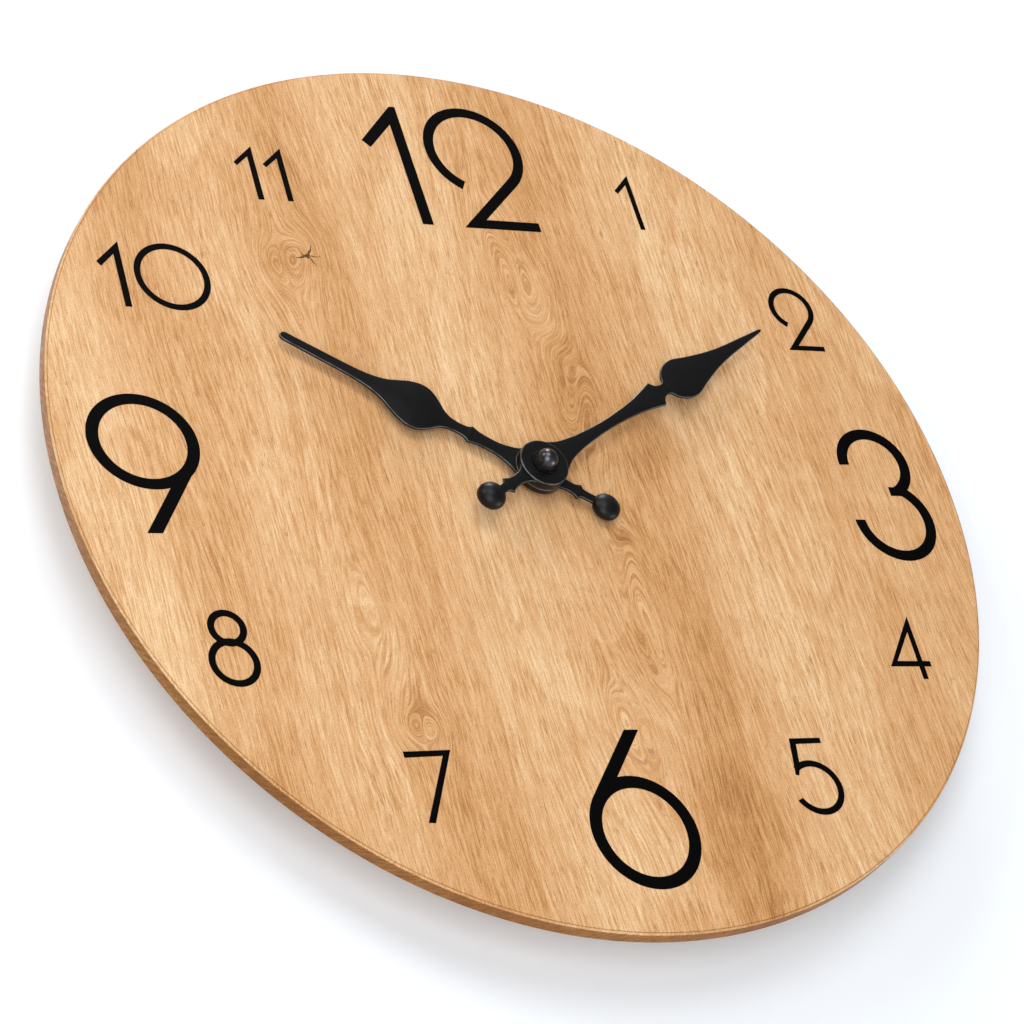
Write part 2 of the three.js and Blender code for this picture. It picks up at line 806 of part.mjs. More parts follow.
function movementCase() {
  const half = caseWidth / 2;
  const outer = roundedRectangle(-half, half, -caseHeight / 2, caseHeight / 2, caseCorner);
  const body = plate(outer, fitPlay, caseDepth, caseCornerSteps);
  const innerCorner = caseCorner - caseWall;
  const room = plate(
    roundedRectangle(-innerHalfWidth, innerHalfWidth, dividerTop, innerTop, innerCorner),
    -cutOverrun,
    caseInnerFront,
    caseCornerSteps,
  );
  const bay = plate(
    roundedRectangle(-innerHalfWidth, innerHalfWidth, bayBottom, bayTop, innerCorner),
    -cutOverrun,
    caseInnerFront,
    caseCornerSteps,
  );
  const coverSeat = box(
    -half - cutOverrun,
    half + cutOverrun,
    bayTop,
    caseHeight / 2 + cutOverrun,
    -cutOverrun,
    coverThickness + fitPlay,
  );
  const gripNotch = box(
    -gripNotchWidth / 2,
    gripNotchWidth / 2,
    -half - cutOverrun,
    bayBottom + cutOverrun,
    -cutOverrun,
    gripNotchDepth,
  );
  const contactSlots = [-innerHalfWidth, innerHalfWidth - innerCorner].map((start) => box(
    start,
    start + innerCorner,
    bayTop - innerCorner,
    dividerTop + innerCorner,
    contactBackAt - fitPlay,
    contactBackAt + contactWidth + fitPlay,
  ));
  const posts = cornerPostPlaces.map((place) => (
    bar(casePostRadius, middlePlateFront, caseInnerFront + fitPlay, place, pivotFacets)
  ));
  const motionPost = bar(
    motionPostRadius,
    motionWheelBack - fitPlay,
    caseInnerFront + fitPlay,
    motionPlace,
    pivotFacets,
  );
  const settingBearing = cut(
    bar(bearingBossRadius, hourWheelBack + fitPlay, caseInnerFront + fitPlay, settingPlace, pivotFacets),
    bar(
      pivotRadius + fitPlay,
      hourWheelBack - cutOverrun,
      caseInnerFront - bearingFloor,
      settingPlace,
      pivotFacets,
    ),
  );
  const shell = cut(
    body,
    room,
    bay,
    coverSeat,
    gripNotch,
    ...contactSlots,
    ...coverNibs(caseWall + cutOverrun, fitPlay),
    bore(bushingRadius + fitPlay, caseInnerFront, caseDepth, centrePlace, largeFacets),
  );
  return join(shell, ...posts, motionPost, settingBearing);
}

// Rear cover: a plate with a locating lip and its snap nibs, the knob's well and the rear bearings
function rearCover() {
  const half = caseWidth / 2;
  const outline = roundedRectangle(-half, half, -caseHeight / 2, caseHeight / 2, caseCorner);
  const below = box(
    -half - cutOverrun,
    half + cutOverrun,
    -caseHeight / 2 - cutOverrun,
    bayTop + fitPlay,
    -cutOverrun,
    caseDepth,
  );
  const lipCorner = caseCorner - caseWall - fitPlay;
  const lip = plate(
    roundedRectangle(
      -innerHalfWidth + fitPlay,
      innerHalfWidth - fitPlay,
      dividerTop + fitPlay,
      innerTop - fitPlay,
      lipCorner,
    ),
    coverThickness,
    coverThickness + coverLipHeight,
    caseCornerSteps,
  );
  const inset = fitPlay + coverLipThickness;
  const lipRoom = box(
    -innerHalfWidth + inset,
    innerHalfWidth - inset,
    dividerTop + inset,
    innerTop - inset,
    coverThickness,
    caseDepth,
  );
  const wellRadius = knobRadius + knobWellPlay;
  const well = bar(wellRadius + knobWellWall, fitPlay, wellFloorFront, settingPlace, largeFacets);
  const wellRoom = bar(wellRadius, -cutOverrun, wellFloorBack, settingPlace, largeFacets);
  const stemHole = bar(settingStemRadius + fitPlay, 0, caseDepth, settingPlace);
  const bearings = [thirdPlace, fourthPlace, intermediatePlace, rotorPlace].map((place) => cut(
    bar(bearingBossRadius, coverThickness - fitPlay, bearingTop, place, pivotFacets),
    bar(pivotRadius + fitPlay, coverThickness + bearingFloor, caseDepth, place, pivotFacets),
  ));
  const minuteBearing = cut(
    bar(bearingBossRadius + fitPlay, coverThickness - fitPlay, bearingTop),
    bar(minuteRearRadius + fitPlay, coverThickness + bearingFloor, caseDepth),
  );
  return join(
    cut(
      join(cut(plate(outline, 0, coverThickness, caseCornerSteps), below), cut(lip, lipRoom), well),
      wellRoom,
      stemHole,
    ),
    ...bearings,
    ...coverNibs(coverNibReach, 0),
    minuteBearing,
  );
}

// Posts of the middle plate under the motor and the circuit
const coreBack = statorBackAt + statorThickness + fitPlay / 2;
const coreFront = coreBack + coreThickness;
const motorPostPlaces = [-1, 1].map((side) => new THREE.Vector2(
  coilPlace.x + side * (statorHalfLength - statorLegWidth / 2),
  coilPlace.y,
));
const circuitFront = circuitBackAt + circuitThickness;
const circuitLeft = -innerHalfWidth + circuitEdgeGap;
const circuitBottom = dividerTop + circuitEdgeGap;
const circuitPostPlaces = [0, 1].map((end) => new THREE.Vector2(
  circuitLeft + motorPostRadius + end * (circuitWidth - 2 * motorPostRadius),
  circuitBottom + motorPostRadius,
));

function middlePlate() {
  const base = plate(
    roundedRectangle(
      -innerHalfWidth + runningPlay,
      innerHalfWidth - runningPlay,
      dividerTop + runningPlay,
      innerTop - runningPlay,
      caseCorner - caseWall,
    ),
    middlePlateBack,
    middlePlateFront,
    caseCornerSteps,
  );
  const cannonTip = motionModule * (cannonTeeth / 2 + addendumShare);
  const holes = [thirdPlace, fourthPlace, intermediatePlace, rotorPlace].map((place) => (
    bore(pivotRadius + fitPlay, middlePlateBack, middlePlateFront, place, pivotFacets)
  ));
  const arborHole = bore(
    Math.max(cannonTip, clutchFlangeRadius) + runningPlay,
    middlePlateBack,
    middlePlateFront,
  );
  const stemHole = bore(
    settingStemRadius + runningPlay,
    middlePlateBack,
    middlePlateFront,
    settingPlace,
  );
  const motorPosts = motorPostPlaces.map((place) => join(
    bar(motorPostRadius, coreFront + fitPlay / 2, middlePlateBack + fitPlay, place, pivotFacets),
    bar(motorPinRadius, statorBackAt - fitPlay, middlePlateBack + fitPlay, place, pivotFacets),
  ));
  const circuitPosts = circuitPostPlaces.map((place) => (
    bar(motorPostRadius, circuitFront + fitPlay / 2, middlePlateBack + fitPlay, place, pivotFacets)
  ));
  return join(cut(base, ...holes, arborHole, stemHole), ...motorPosts, ...circuitPosts);
}

// Stator: a soft iron plate round the rotor, with a leg at each end down to the coil's core
function stator() {
  const bridgeHalf = magnetRadius + rotorAirGap + statorRim;
  const left = rotorPlace.x - statorHalfLength;
  const right = rotorPlace.x + statorHalfLength;
  const legBottom = coilPlace.y - coreWidth / 2;
  const front = statorBackAt + statorThickness;
  const bridge = box(
    left,
    right,
    rotorPlace.y - bridgeHalf,
    rotorPlace.y + bridgeHalf,
    statorBackAt,
    front,
  );
  const legs = [left, right - statorLegWidth].map((start) => box(
    start,
    start + statorLegWidth,
    legBottom,
    rotorPlace.y,
    statorBackAt,
    front,
  ));
  const pinHoles = motorPostPlaces.map((place) => (
    bore(motorPinRadius + fitPlay, statorBackAt, front, place, pivotFacets)
  ));
  const rotorHole = bore(magnetRadius + rotorAirGap, statorBackAt, front, rotorPlace, largeFacets);
  return cut(join(bridge, ...legs), rotorHole, ...pinHoles);
}

function coilCore() {
  const pinHoles = motorPostPlaces.map((place) => (
    bore(motorPinRadius + fitPlay, coreBack, coreFront, place, pivotFacets)
  ));
  return cut(
    box(
      coilPlace.x - statorHalfLength,
      coilPlace.x + statorHalfLength,
      coilPlace.y - coreWidth / 2,
      coilPlace.y + coreWidth / 2,
      coreBack,
      coreFront,
    ),
    ...pinHoles,
  );
}

// A round bar that lies along x through the coil's core
function coilBar(radius, halfLength) {
  const geometry = new THREE.CylinderGeometry(radius, radius, 2 * halfLength, smallFacets);
  geometry.rotateZ(Math.PI / 2);
  return solidOf(geometry.translate(coilPlace.x, coilPlace.y, (coreBack + coreFront) / 2));
}

const bobbinRadius = Math.hypot(coreWidth / 2, coreThickness / 2) + bobbinWall;
const coilHalf = statorHalfLength - statorLegWidth - runningPlay;

function coilBobbin() {
  const half = coilHalf;
  const disc = coilBar(bobbinFlangeRadius, half);
  const waist = cut(
    coilBar(bobbinFlangeRadius + cutOverrun, half - bobbinFlangeThickness),
    coilBar(bobbinRadius, half),
  );
  const coreRoom = box(
    coilPlace.x - half - cutOverrun,
    coilPlace.x + half + cutOverrun,
    coilPlace.y - coreWidth / 2 - fitPlay,
    coilPlace.y + coreWidth / 2 + fitPlay,
    coreBack - fitPlay,
    coreFront + fitPlay,
  );
  return cut(disc, waist, coreRoom);
}

function coilWinding() {
  const half = coilHalf - bobbinFlangeThickness - fitPlay;
  return cut(coilBar(coilRadius, half), coilBar(bobbinRadius + fitPlay, half + cutOverrun));
}

// Circuit board with the clock chip under epoxy and the quartz crystal
function circuitBoard() {
  return box(
    circuitLeft,
    circuitLeft + circuitWidth,
    circuitBottom,
    circuitBottom + circuitHeight,
    circuitBackAt,
    circuitFront,
  );
}

function chip() {
  const points = [[0, circuitFront], [chipRadius, circuitFront]];
  for (let step = 1; step <= chipSteps; step += 1) {
    const angle = Math.PI / 2 * step / chipSteps;
    const radius = step < chipSteps ? chipRadius * Math.cos(angle) : 0;
    points.push([radius, circuitFront + chipHeight * Math.sin(angle)]);
  }
  const place = new THREE.Vector2(
    circuitLeft + circuitWidth / 2,
    circuitBottom + circuitHeight - chipRadius - circuitEdgeGap,
  );
  return turned(points, smallFacets, place);
}

function quartzCrystal() {
  const geometry = new THREE.CylinderGeometry(crystalRadius, crystalRadius, crystalLength, pivotFacets);
  geometry.rotateZ(Math.PI / 2);
  return solidOf(geometry.translate(
    circuitLeft + circuitWidth / 2,
    circuitBottom + crystalRadius + circuitEdgeGap,
    circuitFront + crystalRadius + fitPlay / 2,
  ));
}

// Battery, lying along x in its bay
function battery() {
  const radius = batteryDiameter / 2;
  const start = -batteryLength / 2;
  const shoulder = batteryLength / 2 - batteryNubLength;
  const end = batteryLength / 2;
  const profile = [
    [0, start],
    [radius - batteryEdgeRound, start],
    [radius, start + batteryEdgeRound],
    [radius, shoulder - batteryEdgeRound],
    [radius - batteryEdgeRound, shoulder],
    [batteryNubRadius, shoulder],
    [batteryNubRadius, end],
    [0, end],
  ].map(([across, along]) => new THREE.Vector2(across, along));
  const geometry = new THREE.LatheGeometry(profile, largeFacets);
  geometry.rotateZ(-Math.PI / 2);
  return solidOf(geometry.translate(batteryPlace.x, batteryPlace.y, batteryPlay + radius));
}

// A contact is a bent strip: its outline in x and y is as thick as the strip all along
function strip(points) {
  const shape = new THREE.Shape();
  const normals = points.map((point, at) => {
    const before = points[Math.max(at - 1, 0)];
    const after = points[Math.min(at + 1, points.length - 1)];
    const first = new THREE.Vector2().subVectors(point, before);
    const second = new THREE.Vector2().subVectors(after, point);
    if (!first.length()) first.copy(second);
    if (!second.length()) second.copy(first);
    const lean = first.normalize().add(second.normalize()).normalize();
    const stretch = 1 / Math.max(lean.dot(second), 0.5);
    return new THREE.Vector2(-lean.y, lean.x).multiplyScalar(stretch * contactThickness);
  });
  points.forEach((point, at) => {
    if (at) shape.lineTo(point.x, point.y);
    else shape.moveTo(point.x, point.y);
  });
  for (let at = points.length - 1; at >= 0; at -= 1) {
    shape.lineTo(points[at].x + normals[at].x, points[at].y + normals[at].y);
  }
  shape.closePath();
  return plate(shape, contactBackAt, contactBackAt + contactWidth);
}

const contactWallAt = innerHalfWidth - contactLift;
const contactTipAt = batteryLength / 2 + runningPlay;
const contactBumpHalf = batteryNubRadius + contactThickness;
const stripLane = dividerTop + contactLift;

function positiveContact() {
  const bump = batteryPlace.y;
  return strip([
    new THREE.Vector2(contactWallAt, bump - 2 * contactBumpHalf),
    new THREE.Vector2(contactWallAt, bump - contactBumpHalf),
    new THREE.Vector2(contactTipAt + contactThickness, bump - contactThickness),
    new THREE.Vector2(contactTipAt + contactThickness, bump + contactThickness),
    new THREE.Vector2(contactWallAt, bump + contactBumpHalf),
    new THREE.Vector2(contactWallAt, stripLane + contactThickness),
    new THREE.Vector2(circuitLeft + circuitWidth / 2, stripLane + contactThickness),
  ]);
}

function negativeContact() {
  const bump = batteryPlace.y;
  return strip([
    new THREE.Vector2(-contactWallAt, circuitBottom + circuitHeight / 2),
    new THREE.Vector2(-contactWallAt, bump + contactBumpHalf),
    new THREE.Vector2(-contactTipAt - contactThickness, bump + contactThickness),
    new THREE.Vector2(-contactTipAt - contactThickness, bump - contactThickness),
    new THREE.Vector2(-contactWallAt, bump - contactBumpHalf),
    new THREE.Vector2(-contactWallAt, bump - 2 * contactBumpHalf),
  ]);
}

// Hands: a flat outline along y, mirrored about its axis, with a boss and a counterweight
function handShape(length, halfWidth, runs) {
  const side = [];
  for (const run of runs) {
    const stations = run.map(([along, across]) => new THREE.Vector2(halfWidth * across, length * along));
    const smooth = new THREE.SplineCurve(stations).getPoints(2 * (stations.length - 1));
    side.push(...(side.length ? smooth.slice(1) : smooth));
  }
  const mirrored = side.map((point) => new THREE.Vector2(-point.x, point.y)).reverse();
  const onAxis = side[side.length - 1].x === 0;
  return new THREE.Shape([...side, ...(onAxis ? mirrored.slice(1) : mirrored)]);
}

function handBall(centre, halfHeight, along) {
  const points = [];
  for (let step = 0; step <= ballSteps; step += 1) {
    const angle = Math.PI * (step / ballSteps - 0.5);
    const radius = step % ballSteps ? ballRadius * Math.cos(angle) : 0;
    points.push([radius, centre + halfHeight * Math.sin(angle)]);
  }
  return turned(points, largeFacets / 2, new THREE.Vector2(0, along));
}

function hourHand() {
  const back = hourBossBack + hourPlateLift;
  const front = back + handThickness;
  const blade = handShape(hourLength, hourHalfWidth, [hourArmShares, hourSpadeShares, hourTipShares]);
  const tail = handShape(hourLength, hourHalfWidth, [hourTailShares, hourNeckShares]);
  const tubeRadius = minuteArborRadius + fitPlay + hourTubeWall;
  return cut(
    join(
      bar(bossRadius, hourBossBack, hourBossFront, centrePlace, bossFacets),
      plate(blade, back, front),
      plate(tail, back, front),
      handBall(back + hourBallLift, hourBallHalfHeight, -hourBallShare * hourLength),
    ),
    bore(tubeRadius + fitPlay, hourBossBack, hourBossFront),
  );
}

function minuteHand() {
  const back = minuteBossBack + minutePlateLift;
  const front = back + handThickness;
  const along = -minuteBallShare * minuteLength;
  const blade = handShape(
    minuteLength,
    minuteHalfWidth,
    [minuteArmShares, minuteNotchShares, minuteSpadeShares],
  );
  const tail = handShape(minuteLength, minuteHalfWidth, [minuteTailShares, minuteNeckShares]);
  const ballFoot = box(
    -2 * ballRadius,
    2 * ballRadius,
    along - 2 * ballRadius,
    along + 2 * ballRadius,
    back - 2 * minuteBallHalfHeight,
    back,
  );
  return cut(
    join(
      bar(bossRadius, minuteBossBack, minuteBossFront, centrePlace, bossFacets),
      plate(blade, back, front),
      plate(tail, back, front),
      cut(handBall(front, minuteBallHalfHeight, along), ballFoot),
    ),
    bore(minuteSeatRadius + fitPlay, minuteBossBack, minuteBossFront),
  );
}

function capNut() {
  const flangeFront = minuteBossFront + capFlangeThickness;
  const points = [
    [0, minuteBossFront],
    [capFlangeRadius, minuteBossFront],
    [capFlangeRadius, flangeFront],
    [capRadius, flangeFront],
  ];
  for (let step = 0; step <= capSteps; step += 1) {
    const angle = Math.PI / 2 * step / capSteps;
    const radius = step < capSteps ? capRadius * Math.cos(angle) : 0;
    points.push([radius, capDomeBack + capRadius * Math.sin(angle)]);
  }
  const thread = bar(
    minuteSeatRadius + fitPlay,
    minuteBossFront - cutOverrun,
    capThreadFront + fitPlay,
  );
  return cut(turned(points, largeFacets / 2 + capSteps), thread);
}

// The clock: fixed pieces straight in it, each turning unit in a group on its own axis
const clock = new THREE.Group();
clock.name = "wooden_wall_clock";

function turningGroup(place) {
  const group = new THREE.Group();
  group.position.set(place.x, place.y, 0);
  clock.add(group);
  return group;
}

addPiece(clock, "wood_dial", woodDial(), oak);
addPiece(clock, "threaded_bushing", threadedBushing(), brass);
addPiece(clock, "rubber_washer", washer(rubberWasherRadius, hangerFront, rubberWasherThickness), rubber);
addPiece(clock, "brass_washer", washer(brassWasherRadius, boardFront, brassWasherThickness), brass);
addPiece(clock, "hex_nut", hexNut(), brass);
addPiece(clock, "hanger_plate", hangerPlate(), steel);
addPiece(clock, "movement_case", movementCase(), blackPlastic);
addPiece(clock, "rear_cover", rearCover(), blackPlastic);
addPiece(clock, "middle_plate", middlePlate(), whitePlastic);
addPiece(clock, "stator", stator(), steel);
addPiece(clock, "coil_core", coilCore(), steel);
addPiece(clock, "coil_bobbin", coilBobbin(), whitePlastic);
addPiece(clock, "coil_winding", coilWinding(), copper);
addPiece(clock, "circuit_board", circuitBoard(), fibreglass);
addPiece(clock, "clock_chip", chip(), epoxy);
addPiece(clock, "quartz_crystal", quartzCrystal(), steel);
addPiece(clock, "battery", battery(), sleeve);
addPiece(clock, "positive_contact", positiveContact(), steel);
addPiece(clock, "negative_contact", negativeContact(), steel);

const minuteGroup = turningGroup(centrePlace);
addPiece(minuteGroup, "minute_arbor", minuteArbor(), steel);
addPiece(minuteGroup, "clutch_spring", clutchSpring(), steel);
addPiece(minuteGroup, "cap_nut", capNut(), blackGloss);
const minuteMesh = addPiece(minuteGroup, "minute_hand", minuteHand(), blackMetal);
minuteMesh.rotation.z = -THREE.MathUtils.degToRad(minuteAngle);

const hourGroup = turningGroup(centrePlace);
addPiece(hourGroup, "hour_wheel", hourWheel(), whitePlastic);
const hourMesh = addPiece(hourGroup, "hour_hand", hourHand(), blackMetal);
hourMesh.rotation.z = -THREE.MathUtils.degToRad(hourAngle);

addPiece(turningGroup(motionPlace), "motion_wheel", motionWheel(), whitePlastic);
const settingGroup = turningGroup(settingPlace);
addPiece(settingGroup, "setting_knob", settingKnob(), blackPlastic);
addPiece(settingGroup, "setting_pinion", settingPinion(), whitePlastic);

addPiece(turningGroup(centrePlace), "centre_wheel", centreWheel(), whitePlastic);
addPiece(turningGroup(thirdPlace), "third_wheel", thirdWheel(), whitePlastic);
addPiece(turningGroup(fourthPlace), "fourth_wheel", fourthWheel(), whitePlastic);
addPiece(turningGroup(intermediatePlace), "intermediate_wheel", intermediateWheel(), whitePlastic);
const rotorGroup = turningGroup(rotorPlace);
addPiece(rotorGroup, "rotor_pinion", rotorPinion(), whitePlastic);
addPiece(rotorGroup, "rotor_magnet", rotorMagnet(), magnet);

clock.rotation.x = Math.PI / 2;
const part = new THREE.Group();
part.add(clock);

export default part;
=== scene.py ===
import math
from contextlib import contextmanager

import bmesh
import bpy
from mathutils import Matrix, Vector
from mathutils.geometry import delaunay_2d_cdt


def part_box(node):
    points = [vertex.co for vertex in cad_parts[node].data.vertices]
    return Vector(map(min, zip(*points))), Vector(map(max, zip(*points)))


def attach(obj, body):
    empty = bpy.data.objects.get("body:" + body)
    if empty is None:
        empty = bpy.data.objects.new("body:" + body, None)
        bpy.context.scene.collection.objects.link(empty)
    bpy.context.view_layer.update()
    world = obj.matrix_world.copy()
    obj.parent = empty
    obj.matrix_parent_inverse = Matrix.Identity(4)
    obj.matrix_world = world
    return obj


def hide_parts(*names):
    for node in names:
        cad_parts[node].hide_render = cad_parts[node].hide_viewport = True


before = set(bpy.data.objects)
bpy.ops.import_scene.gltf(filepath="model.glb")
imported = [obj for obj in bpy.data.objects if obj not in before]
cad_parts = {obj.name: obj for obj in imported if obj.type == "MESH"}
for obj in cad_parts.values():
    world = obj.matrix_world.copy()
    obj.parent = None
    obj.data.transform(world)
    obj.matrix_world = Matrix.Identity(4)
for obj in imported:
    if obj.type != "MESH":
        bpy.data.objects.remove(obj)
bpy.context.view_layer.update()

bl_info = {
    "name": "Wooden wall clock",
    "version": (1, 0, 0),
    "blender": (4, 5, 0),
    "location": "3D View > Sidebar > Wall Clock",
    "description": "Builds an oak wall clock with printed numerals, serpentine hands and its movement",
    "category": "Add Mesh",
}

MM = 0.001
TINY = 1e-7
MERGE, CAD_MERGE = 0.0005 * MM, 0.002 * MM
FLAT_ANGLE = 0.6  # degrees
CORNER_STEPS = 4
WHITE = (1.0, 1.0, 1.0, 1.0)

# Places taken from the frame, in metres; the dial faces -Y and its wall is at Y = 0.
DIAL_LOW, DIAL_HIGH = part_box("wood_dial")
FACE = DIAL_LOW[1]
BACK = DIAL_HIGH[1]
RIM = DIAL_HIGH[0]

BOSS_RADIUS = 7.8 * MM
BOSS_ROUND = 0.35 * MM
BALL_RADIUS = 4.4 * MM
CAP_DOME = 3.25 * MM


def tone(red, green, blue):
    """A colour written as it shows on a screen, 0 to 255, in the linear form that shaders take."""
    parts = []
    for part in (red, green, blue):
        share = part / 255
        parts.append(share / 12.92 if share <= 0.04045 else ((share + 0.055) / 1.055) ** 2.4)
    return (*parts, 1.0)


def colour_property(name, description, *screen):
    return bpy.props.FloatVectorProperty(
        name=name, description=description, subtype="COLOR", size=4, min=0.0, max=1.0, default=tone(*screen)
    )


def length_property(name, description, millimetres):
    return bpy.props.FloatProperty(
        name=name, description=description, default=millimetres * MM, min=0.0, unit="LENGTH", precision=4
    )


def power_property(name, description, watts):
    return bpy.props.FloatProperty(
        name=name, description=description, default=watts, min=0.0, unit="POWER"
    )


def plain_property(name, description, value, least=0.0):
    return bpy.props.FloatProperty(name=name, description=description, default=value, min=least)


class ClockDial(bpy.types.PropertyGroup):
    edge_break: length_property("Edge break", "Width of the broken front edge on the face", 0.6)
    back_chamfer: length_property("Back chamfer", "Chamfer of the board's back edge", 0.5)
    hole_radius: length_property("Hole radius", "Radius of the hole for the movement's neck", 4.3)
    ink_thickness: length_property("Ink thickness", "How far the printed film stands on the wood", 0.06)
    ink: colour_property("Ink", "Colour of the numerals", 3, 3, 3)


class ClockOak(bpy.types.PropertyGroup):
    pale: colour_property("Pale wood", "Lightest wood between the pores", 245, 212, 167)
    middle: colour_property("Middle wood", "Main tone of the board", 224, 176, 126)
    deep: colour_property("Deep wood", "Wood in the dark streaks", 201, 146, 90)
    darkest: colour_property("Darkest wood", "Wood where dark streaks and knots meet", 170, 117, 70)
    pore: colour_property("Pores", "Open pores", 150, 98, 56)
    crack: colour_property("Cracks", "Cracks of the upper knot", 70, 40, 20)
    # Darkens the board's side, partly as the cutter's browning and partly as painted shade, and a fine line
    # beside the front edge.
    edge_browning_and_shade: colour_property("Sawn edge", "Browning that the cutter leaves on the edge", 198, 168, 122)
    end_grain: colour_property("End grain", "Slanted dark lines on the board's edge", 128, 82, 38)
    fibre_length: plain_property("Fibre length", "How many times longer than wide fibres are", 30.0, 1.0)
    contrast: plain_property("Contrast", "How far the figure goes from pale to dark", 0.8)
    grain_depth: length_property("Grain depth", "Depth of the open grain in the bump", 0.1)


class ClockHands(bpy.types.PropertyGroup):
    edge_round: length_property("Edge round", "Radius along the stamped edges", 0.2)
    paint: colour_property("Paint", "Satin paint of the hands", 8, 8, 9)
    # Lighter grey on the hands' rounded edges: partly worn paint, partly a painted highlight along the edges.
    worn_edge_highlight: colour_property("Worn edge", "Where the paint is rubbed thin along the edges", 120, 121, 124)
    cap: colour_property("Cap plating", "Plating of the cap nut", 80, 80, 84)


class ClockMovement(bpy.types.PropertyGroup):
    edge_round: length_property("Edge round", "Radius along the case's moulded edges", 0.35)
    case: colour_property("Case plastic", "Plastic of the case, cover and knob", 29, 29, 30)
    wheels: colour_property("Wheel plastic", "Natural plastic of the wheels", 226, 222, 208)
    turns: bpy.props.IntProperty(
        name="Coil turns", description="Turns in the coil's outer layer", default=64, min=4, max=200
    )


class ClockStudio(bpy.types.PropertyGroup):
    wall: colour_property("Wall", "Colour of the wall and the floor", 232, 237, 243)
    front_power: power_property("Front lamp", "Power of the lamp by the camera", 10.6)
    key_power: power_property("Key lamp", "Power of the large lamp", 7.0)
    left_power: power_property("Left lamp", "Power of the lamp at the left", 4.0)
    low_power: power_property("Low lamp", "Power of the lamp below at the right", 4.8)
    top_power: power_property("Top lamp", "Power of the lamp above", 8.0)
    back_power: power_property("Back lamp", "Power of the lamp behind the wall", 10.0)
    room_light: plain_property("Room light", "Strength of the even light", 0.2)
    wall_glow: plain_property("Wall glow", "Light that the wall adds of its own, for the camera", 0.2)


# Node trees


class Signal:
    """A node's output, which knows its tree; arithmetic on signals adds Math nodes there."""

    def __init__(self, socket):
        self.socket = socket
        self.tree = socket.id_data

    def __add__(self, other):
        return calc("ADD", self, other)

    def __sub__(self, other):
        return calc("SUBTRACT", self, other)

    def __rsub__(self, other):
        return calc("SUBTRACT", other, self)

    def __mul__(self, other):
        return calc("MULTIPLY", self, other)

    def __truediv__(self, other):
        return calc("DIVIDE", self, other)

    __radd__ = __add__


def feed(socket, value):
    """Links a signal to the socket, or writes a plain value into it."""
    if isinstance(value, Signal):
        value.tree.links.new(value.socket, socket)
    else:
        socket.default_value = value


def add(tree, kind, inputs=None, **settings):
    """Adds a node, and feeds the inputs that are given by name or place."""
    node = tree.nodes.new(kind)
    for name, value in settings.items():
        setattr(node, name, value)
    for name, value in (inputs or {}).items():
        feed(node.inputs[name], value)
    return node


def outputs(tree, kind, inputs=None, **settings):
    """Adds a node with its inputs fed, and gives its outputs by name."""
    return {socket.name: Signal(socket) for socket in add(tree, kind, inputs, **settings).outputs}


def result(kind, inputs, output=0, **settings):
    """Adds a node beside the first signal among its inputs, and gives one of its outputs."""
    tree = next(value.tree for value in inputs.values() if isinstance(value, Signal))
    return Signal(add(tree, kind, inputs, **settings).outputs[output])


def calc(operation, *values, clamp=False):
    return result("ShaderNodeMath", dict(enumerate(values)), operation=operation, use_clamp=clamp)


def vector_calc(operation, *values, output="Vector"):
    return result("ShaderNodeVectorMath", dict(enumerate(values)), output, operation=operation)


def eased(value, low, high, first=0.0, last=1.0):
    """Goes smoothly from first to last while value goes from low to high."""
    inputs = {"Value": value, "From Min": low, "From Max": high, "To Min": first, "To Max": last}
    return result("ShaderNodeMapRange", inputs, "Result", interpolation_type="SMOOTHSTEP")


def parts_of(vector):
    return outputs(vector.tree, "ShaderNodeSeparateXYZ", {0: vector}).values()


def in_millimetres(tree, scale=(1.0, 1.0, 1.0), place=(0.0, 0.0, 0.0)):
    """The object's coordinates in millimetres, stretched and shifted."""
    coordinates = outputs(tree, "ShaderNodeTexCoord")["Object"]
    inputs = {"Vector": coordinates, "Scale": [part / MM for part in scale], "Location": place}
    return result("ShaderNodeMapping", inputs)


def stretched(vector, *shares):
    return vector_calc("MULTIPLY", vector, shares)


def length_of(vector):
    return vector_calc("LENGTH", vector, output="Value")


def on_dial(place):
    """The place as seen from the front, with no depth."""
    return stretched(place, 1.0, 0.0, 1.0)


def distance_on_dial(tree, point=(0.0, 0.0)):
    """Distance in millimetres, as seen from the front, to a point (x, z) given in metres."""
    return length_of(on_dial(in_millimetres(tree, place=(-point[0] / MM, 0.0, -point[1] / MM))))


def noise(vector, scale=1.0, detail=2.0, rough=0.5, output=0):
    inputs = {"Vector": vector, "Scale": scale, "Detail": detail, "Roughness": rough}
    return result("ShaderNodeTexNoise", inputs, output, noise_dimensions="3D")


def even_noise(*values):
    """A noise about zero."""
    return noise(*values) - 0.5


def pushed(place, scale, detail, reach):
    """The place pushed about along the board, by up to half the reach in millimetres."""
    push = vector_calc("SUBTRACT", noise(place, scale, detail, output="Color"), (0.5, 0.5, 0.5))
    return vector_calc("ADD", place, stretched(push, reach, 0.0, reach))


def colour_steps(factor, *steps):
    node = add(factor.tree, "ShaderNodeValToRGB")
    elements = node.color_ramp.elements
    while len(elements) < len(steps):
        elements.new(0.5)
    for element, (place, colour) in zip(elements, steps):
        element.position = place
        element.color = colour
    feed(node.inputs["Fac"], factor)
    return Signal(node.outputs["Color"])


def mixed(factor, first, second, blend="MIX"):
    return result("ShaderNodeMix", {0: factor, 6: first, 7: second}, 2, data_type="RGBA", blend_type=blend)


def bumped(height, distance, strength):
    return result("ShaderNodeBump", {"Height": height, "Distance": distance, "Strength": strength})


def times(colour, share):
    return [min(1.0, part * share) for part in colour[:3]] + [1.0]


def new_finish(name):
    material = bpy.data.materials.new(name)
    material.use_nodes = True
    material.node_tree.nodes.clear()
    return material, material.node_tree


